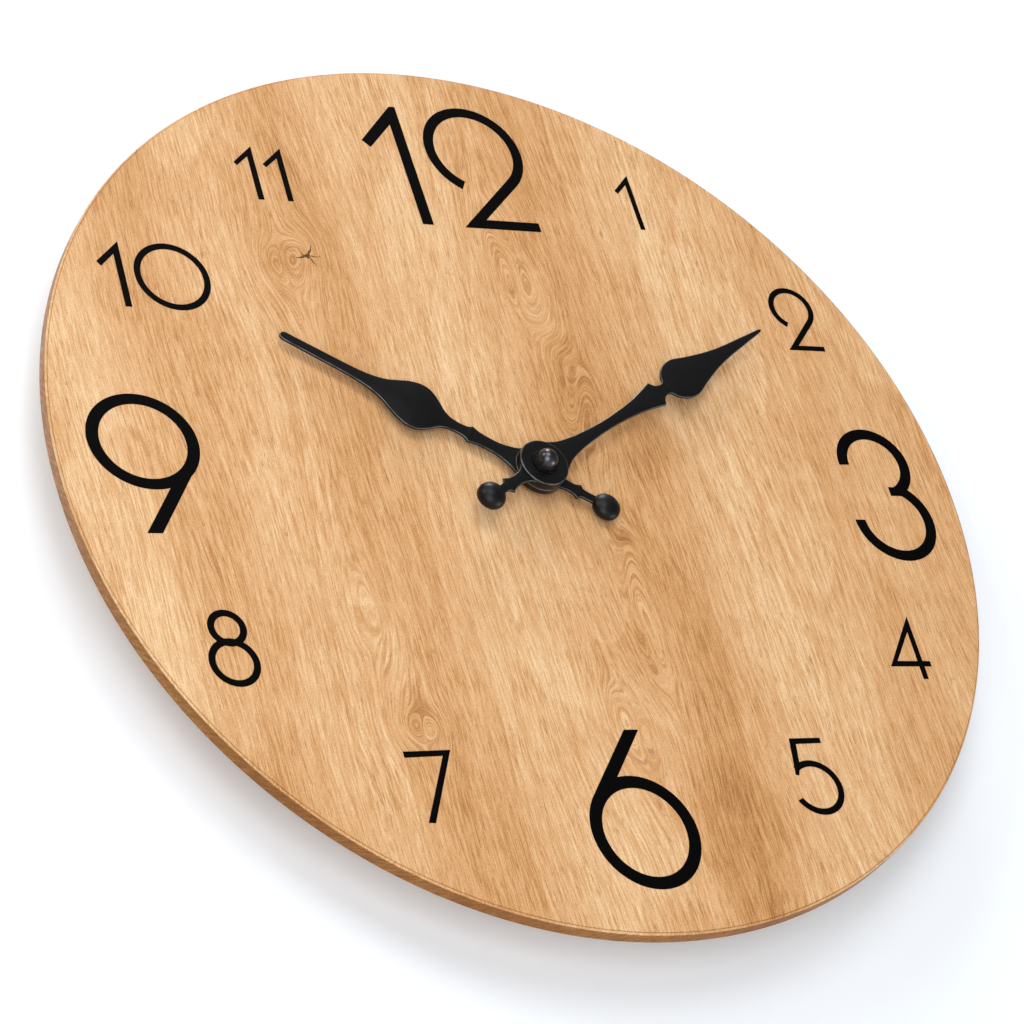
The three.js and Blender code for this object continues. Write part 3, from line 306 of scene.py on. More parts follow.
def close_finish(colour, rough, normal, **values):
    """Ends a material in one shader; other values go to the shader's sockets of that name."""
    inputs = {"Base Color": colour, "Roughness": rough, "Normal": normal}
    inputs.update((name.replace("_", " "), value) for name, value in values.items())
    shader = result("ShaderNodeBsdfPrincipled", inputs)
    feed(add(shader.tree, "ShaderNodeOutputMaterial").inputs["Surface"], shader)


def new_group(name, kind, made, sort, **inputs):
    """An empty node group: its tree, inputs by name, output sockets and the keys of its inputs."""
    tree = bpy.data.node_groups.new(name, kind + "NodeTree")
    new_socket = tree.interface.new_socket
    for label in made:
        new_socket(label, in_out="OUTPUT", socket_type="NodeSocket" + sort)
    keys = {
        label: new_socket(label, in_out="INPUT", socket_type="NodeSocket" + each).identifier
        for label, each in inputs.items()
    }
    return tree, outputs(tree, "NodeGroupInput"), add(tree, "NodeGroupOutput").inputs, keys


# Finishes


def eye_group():
    """A knot or lens in the figure, round which the grain flows as water round a stone."""
    inputs = {"place": "Vector", "centre": "Vector", "width": "Float", "stretch": "Float", "bend": "Float"}
    tree, given, made, _ = new_group("grain_eye", "Shader", ("push", "ring", "inside"), "Float", **inputs)
    x, _, z = parts_of(vector_calc("SUBTRACT", given["place"], given["centre"]))
    across = x / given["width"]
    along = z / given["stretch"] / given["width"]
    square = across * across + along * along
    feed(made["push"], x / (square + 0.35) * (given["bend"] * -1.0))
    ring = calc("SQRT", square)
    feed(made["ring"], ring)
    feed(made["inside"], eased(ring, 0.75, 1.45, 1.0, 0.0))
    return tree


def crack_group():
    """A short dark crack from one point of the board to another."""
    inputs = {"place": "Vector", "start": "Vector", "end": "Vector", "width": "Float"}
    tree, given, made, _ = new_group("wood_crack", "Shader", ("crack",), "Float", **inputs)
    run = vector_calc("SUBTRACT", given["end"], given["start"])
    reach = vector_calc("SUBTRACT", given["place"], given["start"])
    near = vector_calc("DOT_PRODUCT", reach, run, output="Value")
    along = calc("DIVIDE", near, vector_calc("DOT_PRODUCT", run, run, output="Value"), clamp=True)
    foot = result("ShaderNodeVectorMath", {0: run, "Scale": along}, operation="SCALE")
    gap = length_of(vector_calc("SUBTRACT", reach, foot))
    feed(made["crack"], eased(gap / (given["width"] * (1.25 - along)), 0.3, 1.6, 1.0, 0.0))
    return tree


# Each eye: centre x, centre z, half width, stretch, how far it bends the grain, rings across it,
# strength of its rings, extra darkness. Millimetres from the dial's centre.
GRAIN_EYES = (
    (-57.5, 76.0, 9.0, 1.1, 0.95, 10.0, 0.22, 0.05),
    (-62.5, -84.5, 6.5, 1.1, 0.9, 8.0, 0.20, 0.05),
    (-66.0, -48.0, 6.5, 3.2, 0.75, 1.3, 0.07, -0.05),
    (17.0, 74.0, 9.0, 2.4, 0.9, 1.2, 0.07, -0.02),
    (24.0, 27.0, 6.5, 2.4, 0.9, 1.2, 0.09, 0.14),
    (21.0, -50.0, 6.5, 4.4, 0.9, 1.1, 0.06, 0.0),
    (5.0, -86.0, 8.0, 2.6, 0.85, 1.2, 0.07, 0.0),
    # This one has no rings: it only darkens the wood towards the lower right of the face.
    (32.0, -126.0, 13.0, 2.0, 0.1, 1.0, 0.0, 0.18),
)
# Each streak: middle x, half width, how much darker (or, below zero, paler) it is.
GRAIN_STREAKS = (
    (-133.0, 12.0, -0.16),
    (-103.0, 11.0, 0.14),
    (-80.0, 9.0, -0.08),
    (-50.0, 10.0, 0.20),
    (-14.0, 17.0, -0.12),
    (30.0, 17.0, 0.26),
    (66.0, 16.0, -0.16),
    (110.0, 12.0, 0.10),
    (142.0, 8.0, 0.08),
)
# How strongly each finer layer darkens the wood, and the middle darkness, to which they add.
GROWTH, FIBRES, HAIRS, SPECKS, CLOUD, LINES, ARCHES = 0.27, 0.2, 0.92, 0.75, 0.35, 0.42, 0.16
MIDDLE_DARKNESS = 0.4
# How far, in millimetres, the fibres wander and the outlines of eyes and cracks are pushed about.
GRAIN_WANDER, EYE_DRIFT, CRACK_RAGGEDNESS = 16.0, 14.0, 1.6
# Each crack of the upper knot: from x, z to x, z, half width.
KNOT_CRACKS = (
    (-53.3, 76.6, -57.0, 75.4, 0.40),
    (-53.3, 76.6, -50.6, 80.2, 0.42),
    (-53.3, 76.6, -48.9, 76.4, 0.24),
    (-53.3, 76.6, -50.8, 72.6, 0.30),
    (-54.2, 76.3, -55.2, 78.3, 0.22),
)


def grain_flow(tree, board, fibre_length):
    """The place across the fibres, the place along them, and the darkness of eyes and streaks."""
    # The fibres lean and wander a little, and flow round the knots.
    left, depth, height = parts_of(board)
    across = left + even_noise(in_millimetres(tree, (0.02, 0.02, 0.006)), 1.0, 1.0) * GRAIN_WANDER
    uneven = noise(in_millimetres(tree, (0.16, 0.16, 0.1)), 1.0, 3.0) * 12.0
    broken = eased(noise(in_millimetres(tree, (0.3, 0.3, 0.3)), 1.0, 1.0), 0.35, 0.65, 0.3, 1.0)
    drifted = pushed(board, 0.035, 0.0, EYE_DRIFT)
    eye = eye_group()
    shades = []
    for x, z, half_width, stretch, bend, rings, strength, dark in GRAIN_EYES:
        inputs = dict(place=drifted, centre=(x, 0.0, z), width=half_width, stretch=stretch, bend=bend)
        made = outputs(tree, "ShaderNodeGroup", inputs, node_tree=eye)
        across += made["push"]
        turn = made["ring"] * (rings * math.tau) + uneven * (rings * 0.1)
        swell = calc("SINE", turn) * 0.5 + 0.5
        shades.append(made["inside"] * (calc("POWER", swell, 3.0) * broken * strength + dark))
    # Broad streaks of darker and paler wood run down the whole board.
    for middle, half_width, dark in GRAIN_STREAKS:
        off = (across - middle) / half_width
        shades.append(calc("EXPONENT", off * off * -0.7) * dark)
    flow = result("ShaderNodeCombineXYZ", {"X": across, "Y": depth, "Z": height / fibre_length})
    return across, flow, shades


def knot_cracks(tree, board):
    """Where the upper knot is split, with ragged edges."""
    ragged = on_dial(pushed(board, 0.55, 2.0, CRACK_RAGGEDNESS))
    crack = crack_group()
    split = 0.0
    for x1, z1, x2, z2, half_width in KNOT_CRACKS:
        inputs = dict(place=ragged, start=(x1, 0.0, z1), end=(x2, 0.0, z2), width=half_width)
        split = calc("MAXIMUM", split, outputs(tree, "ShaderNodeGroup", inputs, node_tree=crack)["crack"])
    return split


def oak_finish(oak, edge_break):
    """Oak with its figure in place; its side is darker, partly browned by the cutter and partly painted
    shade, and a fine darker line runs beside the edge.
    """
    material, tree = new_finish("oak")
    board = in_millimetres(tree)
    across, flow, shades = grain_flow(tree, board, oak.fibre_length)

    # Growth lines, fibres and pores, from coarse to fine. The fine dark lines follow the middle
    # value of a stretched noise, so they run on, part and meet again as grain does.
    short, long = stretched(flow, 1.0, 1.0, 2.4), stretched(flow, 1.0, 1.0, 0.5)
    growth, fibres = even_noise(long, 0.2), even_noise(long, 1.0, 1.0)
    hairs, specks = even_noise(short, 2.2, 2.0, 0.6), even_noise(board, 2.4, 1.0, 0.6)
    cloud = even_noise(board, 0.03)
    lined = eased(noise(board, 0.07), 0.32, 0.68, 0.55, 1.0)
    lines = eased(calc("ABSOLUTE", even_noise(flow, 1.5, 1.0)), 0.0, 0.1, 1.0, 0.0) * lined
    shades += [growth * GROWTH, fibres * FIBRES, hairs * HAIRS]
    shades += [specks * SPECKS, cloud * CLOUD, lines * LINES]
    # Arches of the growth rings: each fades in slowly and ends at a clear edge.
    waves = noise(in_millimetres(tree, (0.016, 0.016, 0.0045)), 1.0, 1.0)
    arch = calc("FRACT", waves * 9.0 + across * 0.035)
    arch = arch * eased(arch, 0.93, 1.0, 1.0, 0.0)
    shades.append((arch - 0.45) * ARCHES)
    pores = eased(noise(stretched(flow, 1.0, 1.0, 3.4), 2.2, 1.0), 0.63, 0.74)
    pores = pores * eased(noise(flow, 0.16), 0.38, 0.62, 0.5, 1.0)
    split = knot_cracks(tree, board)

    rim, edge = RIM / MM, edge_break / MM
    brink = rim - edge
    x, y, z = parts_of(board)
    reach = length_of(on_dial(board))
    # A fine darker line runs just inside the broken front edge.
    face_line = eased(reach, brink - 0.25, brink - 0.1) * eased(reach, brink + 0.05, brink + 0.15, 1.0, 0.0)
    # The side is darkened, partly as the cutter's browning and partly as painted shade.
    side_browning_and_shade = eased(y - FACE / MM, edge - 0.1, edge + 0.1) * eased(reach, rim - 0.3, rim - 0.1)
    slanted = result("ShaderNodeCombineXYZ", {"X": y * 1.2 + calc("ARCTAN2", z, x) * rim, "Y": y * 0.3})
    end_grain = eased(noise(slanted, 0.8, 3.0, 0.65), 0.4, 0.6) * side_browning_and_shade * 0.75

    depth = (sum(shades) + MIDDLE_DARKNESS) * oak.contrast
    colour = colour_steps(depth, (0.0, oak.pale), (0.36, oak.middle), (0.72, oak.deep), (1.0, oak.darkest))
    colour = mixed(pores * 0.5, colour, oak.pore)
    colour = mixed(split * 0.92, colour, oak.crack)
    colour = mixed(face_line * 0.8 + side_browning_and_shade, colour, oak.edge_browning_and_shade, "MULTIPLY")
    colour = mixed(end_grain, colour, oak.end_grain)
    relief = fibres * 0.35 + pores * -0.55 + split * -1.0
    normal = bumped(relief, oak.grain_depth, 0.6)
    close_finish(colour, fibres * 0.18 + 0.52, normal, Specular_IOR_Level=0.18)
    return material


def ink_finish(dial):
    material, tree = new_finish("printed_ink")
    grain = noise(in_millimetres(tree, (2.4, 2.4, 0.12)))
    wear = eased(noise(in_millimetres(tree), 0.8, 3.0), 0.6, 0.8)
    colour = mixed(wear * 0.25, dial.ink, tone(12, 10, 9))
    rough = eased(grain, 0.3, 0.7, 0.5, 0.62)
    close_finish(colour, rough, bumped(grain, 0.02 * MM, 0.4), Specular_IOR_Level=0.04)
    return material


def cap_finish(hands):
    """Black nickel on the polished dome, satin paint round it."""
    material, tree = new_finish("black_nickel")
    place = in_millimetres(tree)
    dome = CAP_DOME / MM
    cloudy = eased(noise(place, 0.6, 4.0), 0.4, 0.75)
    nickel = mixed(cloudy * 0.12, hands.cap, times(hands.cap, 0.6))
    on_dome = eased(distance_on_dial(tree), dome - 0.08, dome + 0.08, 1.0, 0.0)
    rough = eased(noise(place, 0.9, 3.0), 0.3, 0.7, 0.27, 0.31)
    relief = bumped(noise(place, 1.6), 0.002 * MM, 0.5)
    coat = mixed(on_dome, hands.paint, nickel)
    close_finish(coat, rough, relief, Metallic=on_dome, Specular_IOR_Level=0.22)
    return material


def hand_finish(name, hands, ball):
    """Satin paint, lighter grey along the rounded edges, partly as worn paint and partly as a painted
    highlight, but not on the ball at (x, z) in metres.
    """
    material, tree = new_finish(name)
    place = in_millimetres(tree)
    dusty = eased(noise(place, 0.35, 4.0), 0.45, 0.75)
    paint = mixed(dusty * 0.25, hands.paint, times(hands.paint, 1.7))
    normal = outputs(tree, "ShaderNodeNewGeometry")["True Normal"]
    spaces = {"vector_type": "NORMAL", "convert_from": "WORLD", "convert_to": "OBJECT"}
    _, tilt, _ = parts_of(result("ShaderNodeVectorTransform", {0: normal}, **spaces))
    tilt = calc("ABSOLUTE", tilt)
    to_ball = distance_on_dial(tree, ball)
    ball_edge = (BALL_RADIUS / MM + 0.1, BALL_RADIUS / MM + 0.5)
    # The rounded edges turn lighter grey and metallic: partly worn paint, partly a painted highlight for the
    # light lines along the edges.
    edge = eased(tilt, 0.1, 0.3) * eased(tilt, 0.975, 0.995, 1.0, 0.0) * eased(to_ball, *ball_edge)
    rubbed = edge * eased(noise(place, 0.3, 3.0), 0.3, 0.6, 0.25, 0.8)
    rough = eased(noise(place, 0.8, 3.0), 0.3, 0.7, 0.3, 0.38) * eased(to_ball, *ball_edge, 1.15, 1.0)
    relief = bumped(noise(place, 1.6), 0.004 * MM, 0.5)
    colour = mixed(rubbed, paint, hands.worn_edge_highlight)
    close_finish(colour, rough, relief, Metallic=rubbed, Specular_IOR_Level=0.28)
    return material


def moulded_finish(name, colour, spark=0.06, low=0.42, high=0.58, **constants):
    """Moulded plastic with the spark-eroded texture of its tool and a few rubbed places."""
    material, tree = new_finish(name)
    place = in_millimetres(tree)
    texture = noise(place, 3.2, 2.0, 0.6)
    rubbed = eased(noise(place, 0.22, 4.0), 0.55, 0.8)
    paler = times(colour, 1.35)
    body = mixed(noise(place, 0.05) * 0.5, colour, paler)
    body = mixed(rubbed * 0.3, body, paler)
    rough = eased(texture, 0.3, 0.7, low, high) - rubbed * 0.08
    close_finish(body, rough, bumped(texture, spark * MM, 0.5), **constants)
    return material


def metal_finish(name, colour, stretch, low, high, stain):
    """Bare or plated metal with fine lines, and a darker bloom in places."""
    material, tree = new_finish(name)
    lines = noise(in_millimetres(tree, stretch), 3.0, 3.0, 0.6)
    bloom = eased(noise(in_millimetres(tree), 0.18, 4.0), 0.42, 0.75)
    body = mixed(bloom * stain, colour, times(colour, 0.62))
    rough = eased(lines, 0.3, 0.7, low, high) + bloom * 0.1
    close_finish(body, rough, bumped(lines, 0.012 * MM, 0.5), Metallic=1.0)
    return material


def laminate_finish():
    """Glass cloth under a green mask, with copper tracks showing through."""
    material, tree = new_finish("board_laminate")
    place = in_millimetres(tree)
    weave = result("ShaderNodeTexChecker", {"Vector": place, "Scale": 2.2}, "Fac")
    edges = {"feature": "DISTANCE_TO_EDGE", "distance": "CHEBYCHEV"}
    gap = result("ShaderNodeTexVoronoi", {"Vector": place, "Scale": 0.35}, "Distance", **edges)
    track = eased(gap, 0.05, 0.09, 1.0, 0.0)
    cloth = mixed(weave, tone(40, 92, 58), tone(45, 101, 64))
    colour = mixed(track, cloth, tone(66, 128, 84))
    close_finish(colour, 0.32, bumped(track, 0.03 * MM, 0.6), Coat_Weight=0.3)
    return material


def wire_finish():
    """Enamelled copper wire, the lacquer a little uneven."""
    material, tree = new_finish("enamelled_copper")
    patches = noise(in_millimetres(tree), 0.6, 3.0)
    colour = colour_steps(patches, (0.3, tone(168, 82, 44)), (0.7, tone(199, 110, 62)))
    rough = eased(patches, 0.3, 0.7, 0.22, 0.34)
    close_finish(colour, rough, bumped(patches, 0.02 * MM, 0.4), Metallic=0.8, Coat_Weight=0.4)
    return material


def cell_finish():
    """Plain film shrunk on the cell, scuffed here and there, and bare steel ends."""
    material, tree = new_finish("battery_sleeve")
    low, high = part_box("battery")
    from_axis = in_millimetres(tree, place=[0.0, -(low[1] + high[1]) / 2 / MM, -(low[2] + high[2]) / 2 / MM])
    distance = length_of(stretched(from_axis, 0.0, 1.0, 1.0))
    body_end = (high[2] - low[2]) / 2 / MM - 1.2
    end_steel = eased(distance, body_end - 0.1, body_end, 1.0, 0.0)
    scuff = eased(noise(in_millimetres(tree, (0.2, 1.0, 1.0)), 1.2, 4.0), 0.55, 0.8)
    sleeve = mixed(scuff * 0.25, tone(52, 84, 112), tone(120, 136, 148))
    colour = mixed(end_steel, sleeve, tone(178, 180, 182))
    rough = eased(scuff, 0.0, 1.0, 0.28, 0.45)
    close_finish(colour, rough, bumped(scuff, 0.01 * MM, 0.4), Metallic=0.6)
    return material


def wall_finish(studio):
    """A matt painted wall; from behind it lets the view through, and the lamps' first light."""
    material, tree = new_finish("studio_wall")
    relief = bumped(noise(in_millimetres(tree), 0.25, 3.0), 0.02 * MM, 0.1)
    plaster = result("ShaderNodeBsdfDiffuse", {"Color": studio.wall, "Normal": relief})
    ray = outputs(tree, "ShaderNodeLightPath")
    straight = calc("MAXIMUM", ray["Is Camera Ray"], ray["Is Glossy Ray"])
    straight = calc("MAXIMUM", straight, ray["Is Transmission Ray"])
    glow = result("ShaderNodeEmission", {"Color": WHITE, "Strength": straight * studio.wall_glow})
    lit = result("ShaderNodeAddShader", {0: plaster, 1: glow})
    clear = outputs(tree, "ShaderNodeBsdfTransparent")["BSDF"]
    behind = outputs(tree, "ShaderNodeNewGeometry")["Backfacing"]
    first_light = calc("LESS_THAN", ray["Diffuse Depth"], 0.5) * ray["Is Shadow Ray"]
    opened = calc("MAXIMUM", behind, first_light)
    wall = result("ShaderNodeMixShader", {0: opened, 1: lit, 2: clear})
    feed(add(tree, "ShaderNodeOutputMaterial").inputs["Surface"], wall)
    return material


# Meshes


def link(name, data):
    thing = bpy.data.objects.new(name, data)
    bpy.context.scene.collection.objects.link(thing)
    return thing


def new_piece(name, mesh, finish=None, sharp=35.0):
    """An object for a mesh, with soft shading that stops at edges over the given angle."""
    if finish is not None:
        mesh.materials.clear()
        mesh.materials.append(finish)
    mesh.shade_smooth()
    mesh.set_sharp_from_angle(angle=math.radians(sharp))
    return link(name, mesh)


def mount(piece, body, node):
    """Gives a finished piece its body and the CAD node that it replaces."""
    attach(piece, body)
    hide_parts(node)


def plain_mesh(name, vertices, faces):
    mesh = bpy.data.meshes.new(name)
    mesh.from_pydata(vertices, [], faces)
    return mesh


@contextmanager
def edited(mesh):
    work = bmesh.new()
    work.from_mesh(mesh)
    yield work
    work.to_mesh(mesh)
    work.free()


def tidy_mesh(mesh):
    """Merges doubled points and points every face outwards."""
    with edited(mesh) as work:
        bmesh.ops.remove_doubles(work, verts=work.verts, dist=MERGE)
        bmesh.ops.recalc_face_normals(work, faces=work.faces)
    return mesh


def spread(start, end, steps):
    """Angles from start to end, given in degrees, in radians."""
    return [math.radians(start + (end - start) * step / steps) for step in range(steps + 1)]


def rounding(radius, depth, round_radius, start, end):
    """Points of a rounded corner in a turned profile; angles from outwards, turning to the front."""
    return [
        (radius + round_radius * math.cos(angle), depth - round_radius * math.sin(angle))
        for angle in spread(start, end, CORNER_STEPS)
    ]


def turned(name, profile, steps=96, centre=(0.0, 0.0), along_x=False):
    """Turns a closed profile of (radius, depth) points round an axis along Y, or along X."""
    vertices, rings = [], []
    for radius, depth in profile:
        pointed = radius < TINY
        rings.append([len(vertices) + (0 if pointed else step) for step in range(steps)])
        for step in range(1 if pointed else steps):
            angle = math.tau * step / steps
            across, up = centre[0] + radius * math.cos(angle), centre[1] + radius * math.sin(angle)
            vertices.append((depth, across, up) if along_x else (across, depth, up))
    faces = []
    closed = profile[0][0] > TINY or profile[-1][0] > TINY
    for near, far in list(zip(rings, rings[1:])) + ([(rings[-1], rings[0])] if closed else []):
        for step in range(steps):
            follow = (step + 1) % steps
            corners = [near[step], near[follow], far[follow], far[step]]
            face = [corner for index, corner in enumerate(corners) if corner != corners[index - 1]]
            if len(face) > 2:
                faces.append(face)
    return tidy_mesh(plain_mesh(name, vertices, faces))


def joined(name, meshes):
    """One mesh from several, for a piece that is welded up of them."""
    work = bmesh.new()
    for mesh in meshes:
        work.from_mesh(mesh)
        bpy.data.meshes.remove(mesh)
    whole = bpy.data.meshes.new(name)
    work.to_mesh(whole)
    work.free()
    return whole


def evaluated_mesh(thing):
    return bpy.data.meshes.new_from_object(thing.evaluated_get(bpy.context.evaluated_depsgraph_get()))


def bake_modifiers(piece):
    """Puts what the modifiers make into a plain mesh and removes them."""
    baked = evaluated_mesh(piece)
    piece.modifiers.clear()
    piece.data = baked


def dressed_copy(node, edge_round, finish, sharp=40.0):
    """A copy of a CAD node with its flat faces whole again and its edges rounded."""
    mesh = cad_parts[node].data.copy()
    mesh.name = node + "_dressed"
    with edited(mesh) as work:
        parts = {"verts": work.verts, "edges": work.edges}
        bmesh.ops.remove_doubles(work, verts=work.verts, dist=CAD_MERGE)
        bmesh.ops.dissolve_limit(work, angle_limit=math.radians(FLAT_ANGLE), delimit=set(), **parts)
    piece = new_piece(node + "_dressed", mesh, finish, sharp)
    bevel = piece.modifiers.new("edges", "BEVEL")
    bevel.width = edge_round
    bevel.segments = 3
    bevel.limit_method = "ANGLE"
    bevel.angle_limit = math.radians(sharp)
    bevel.harden_normals = True
    bake_modifiers(piece)
    return piece


def paint_nodes(finish, *nodes):
    """Gives CAD nodes a finish in their own material slots."""
    for node in nodes:
        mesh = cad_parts[node].data
        if not mesh.materials:
            mesh.materials.append(finish)
        for index in range(len(mesh.materials)):
            mesh.materials[index] = finish


# Numerals, in millimetres on the dial: x to the 3, z to the 12.


def band(centre, reach, stroke, start, end, steps=60):
    """Part of a ring; reach and stroke are (across, up)."""
    turns = [(math.cos(angle), math.sin(angle)) for angle in spread(start, end, steps)]
    outer, inner = (
        [(centre[0] + across * x, centre[1] + up * z) for x, z in turns]
        for across, up in (reach, (reach[0] - stroke[0], reach[1] - stroke[1]))
    )
    return outer + inner[::-1]


def ring(centre, reach, stroke):
    return [band(centre, reach, stroke, start, start + 180, 44) for start in (0, 180)]


# Each numeral as overlapping closed outlines.
NUMERALS = {
    "12": [
        [(-9.0, 136.2), (-7.0, 136.2), (-6.25, 91.2), (-10.0, 91.2), (-10.6, 129.1), (-19.8, 119.7),
         (-22.3, 122.15)],
        band((16.2, 120.7), (17.0, 17.0), (3.45, 3.45), -46.6, 241.5, 96),
        [(25.51, 110.85), (4.6, 91.05), (9.4, 91.0), (13.1, 94.5), (27.88, 108.35)],
        [(4.6, 91.0), (31.3, 91.0), (31.3, 94.35), (8.0, 94.35)],
    ],
    "1": [[(70.0, 115.7), (70.1, 94.6), (68.4, 94.6), (68.3, 111.9), (64.4, 108.2), (63.55, 109.4)]],
    "2": [
        band((114.6, 66.7), (8.1, 8.1), (1.95, 1.95), -45.0, 241.0),
        [(118.95, 62.35), (108.3, 50.75), (110.6, 50.7), (112.4, 52.5), (120.33, 60.97)],
        [(108.3, 50.75), (121.9, 50.75), (121.9, 52.55), (110.0, 52.55)],
    ],
    "3": [
        band((124.2, 8.3), (13.0, 13.0), (3.7, 3.7), -62.0, 182.0),
        band((124.2, -12.3), (14.6, 14.6), (3.65, 3.65), 180.0, 418.0),
        [(126.4, -3.2), (126.4, 0.0), (131.0, 0.0), (131.0, -3.2)],
    ],
    "4": [
        [(113.5, -50.0), (115.3, -46.9), (115.05, -68.8), (113.2, -68.8)],
        [(115.3, -46.9), (102.95, -64.4), (105.0, -64.0), (106.0, -62.6), (113.5, -52.3)],
        [(102.95, -64.4), (117.8, -64.4), (117.8, -62.55), (104.3, -62.55)],
    ],
    "5": [
        [(57.6, -88.7), (68.3, -88.55), (68.3, -90.3), (59.4, -90.55)],
        [(57.6, -88.7), (59.4, -90.5), (58.3, -97.2), (56.9, -100.9), (55.7, -100.7)],
        band((61.5, -104.95), (8.95, 8.95), (2.05, 2.05), -152.0, 130.0),
    ],
    "6": [
        *ring((-0.7, -118.1), (17.3, 17.95), (3.9, 3.9)),
        [(-14.6, -107.3), (2.9, -85.3), (7.7, -85.3), (-4.9, -101.4), (-9.5, -105.0), (-13.2, -108.6)],
    ],
    "7": [
        [(-69.6, -91.55), (-54.7, -91.15), (-65.8, -113.8), (-68.0, -113.7), (-57.6, -93.0), (-69.6, -93.45)],
    ],
    "8": [
        *ring((-112.4, -52.4), (5.85, 5.85), (2.1, 2.1)),
        *ring((-112.9, -63.3), (7.65, 7.65), (2.1, 2.1)),
    ],
    "9": [
        *ring((-122.6, 8.3), (17.0, 16.0), (3.8, 3.5)),
        [(-128.7, -22.1), (-124.0, -22.1), (-108.0, 0.7), (-117.5, -6.4)],
    ],
    "10": [
        [(-113.9, 77.7), (-114.6, 54.6), (-116.7, 54.6), (-116.2, 73.1), (-121.0, 68.6), (-122.2, 70.2)],
        *ring((-99.35, 66.05), (11.85, 11.85), (2.05, 2.05)),
    ],
    "11": [
        [(-61.4, 116.4), (-61.8, 96.5), (-63.8, 96.5), (-63.45, 112.5), (-67.7, 108.9), (-68.6, 110.05)],
        [(-51.7, 116.4), (-52.1, 96.6), (-54.0, 96.6), (-53.7, 112.5), (-58.0, 108.9), (-58.95, 110.0)],
    ],
}


def inside(point, outline):
    """Whether a point lies in a closed outline."""
    crossed = False
    for (x1, z1), (x2, z2) in zip(outline, outline[1:] + outline[:1]):
        if (z1 > point[1]) != (z2 > point[1]) and point[0] < x1 + (x2 - x1) * (point[1] - z1) / (z2 - z1):
            crossed = not crossed
    return crossed


def flat_numerals(depth):
    """All numerals as one flat mesh on the dial, the overlaps of their outlines merged."""
    vertices, faces = [], []
    for outlines in NUMERALS.values():
        points, edges = [], []
        for outline in outlines:
            first, count = len(points), len(outline)
            edges += [(first + step, first + (step + 1) % count) for step in range(count)]
            points += [Vector(point) for point in outline]
        made = delaunay_2d_cdt(points, edges, [], 1, 1e-4)
        first = len(vertices)
        vertices += [(point.x * MM, depth, point.y * MM) for point in made[0]]
        for face in made[2]:
            middle = [sum(made[0][corner][axis] for corner in face) / 3 for axis in (0, 1)]
            if any(inside(middle, outline) for outline in outlines):
                faces.append([first + corner for corner in face])
    mesh = plain_mesh("numerals", vertices, faces)
    with edited(mesh) as work:
        for face in work.faces:
            face.normal_update()
            if face.normal.y > 0:
                face.normal_flip()
    return mesh


def close_geometry(made, geometry, finish):
    """The end that every geometry tree shares: real geometry with its finish."""
    real = result("GeometryNodeRealizeInstances", {"Geometry": geometry})
    feed(made[0], result("GeometryNodeSetMaterial", {"Geometry": real, "Material": finish}))


def film_tree(finish):
    """Geometry nodes that raise flat shapes into a closed film."""
    inputs = {"flat": "Geometry", "thickness": "Float"}
    tree, given, made, keys = new_group("raise_film", "Geometry", ("film",), "Geometry", **inputs)
    inputs = {"Mesh": given["flat"], "Individual": False, "Offset": (0.0, -1.0, 0.0)}
    inputs["Offset Scale"] = given["thickness"]
    raised = result("GeometryNodeExtrudeMesh", inputs, mode="FACES")
    under = result("GeometryNodeFlipFaces", {"Mesh": given["flat"]})
    both = add(tree, "GeometryNodeJoinGeometry")
    for part in (raised, under):
        feed(both.inputs["Geometry"], part)
    whole = Signal(both.outputs["Geometry"])
    welded = result("GeometryNodeMergeByDistance", {"Geometry": whole, "Distance": MERGE})
    crisp = result("GeometryNodeSetShadeSmooth", {"Geometry": welded, "Shade Smooth": False})
    close_geometry(made, crisp, finish)
    return tree, keys


def coil_tree(finish):
    """Geometry nodes that wind a wire along X, turn beside turn."""
    inputs = {"turns": "Float", "length": "Float", "radius": "Float", "wire": "Float", "start": "Vector"}
    tree, given, made, keys = new_group("wind_coil", "Geometry", ("coil",), "Geometry", **inputs)
    inputs = {"Resolution": 28, "Rotations": given["turns"], "Height": given["length"]}
    inputs.update({"Start Radius": given["radius"], "End Radius": given["radius"]})
    spiral = result("GeometryNodeCurveSpiral", inputs)
    wire = result("GeometryNodeCurvePrimitiveCircle", {"Resolution": 7, "Radius": given["wire"]})
    inputs = {"Curve": spiral, "Profile Curve": wire, "Fill Caps": True}
    swept = result("GeometryNodeCurveToMesh", inputs)
    inputs = {"Geometry": swept, "Translation": given["start"], "Rotation": (0.0, math.radians(90), 0.0)}
    close_geometry(made, result("GeometryNodeTransform", inputs), finish)
    return tree, keys


def run_tree(piece, tree, keys, **values):
    """Gives a piece a tree of geometry nodes with the values of its inputs, and bakes it."""
    modifier = piece.modifiers.new("nodes", "NODES")
    modifier.node_group = tree
    for name, value in values.items():
        modifier[keys[name]] = value
    bake_modifiers(piece)


# Hands: (share of the length, share of the half width) along one side.

MINUTE_BLADE = (
    ((0.04, 0.9), (0.055, 0.8), (0.09, 0.54), (0.135, 0.39), (0.18, 0.31), (0.255, 0.24),
     (0.325, 0.25), (0.4, 0.33), (0.455, 0.46), (0.507, 0.63)),
    ((0.507, 0.63), (0.52, 0.37), (0.536, 0.28), (0.549, 0.3), (0.556, 0.38)),
    ((0.556, 0.38), (0.562, 0.56), (0.58, 0.8), (0.6, 0.95), (0.621, 1), (0.645, 0.97),
     (0.68, 0.8), (0.725, 0.61), (0.78, 0.42), (0.835, 0.3), (0.89, 0.22), (0.945, 0.145),
     (0.992, 0.08), (1, 0)),
)
MINUTE_TAIL = (
    ((-0.04, 0.9), (-0.068, 0.46), (-0.082, 0.33), (-0.1, 0.26), (-0.118, 0.25), (-0.136, 0.29),
     (-0.148, 0.39)),
    ((-0.148, 0.39), (-0.156, 0.25), (-0.168, 0.205), (-0.2, 0.22)),
)
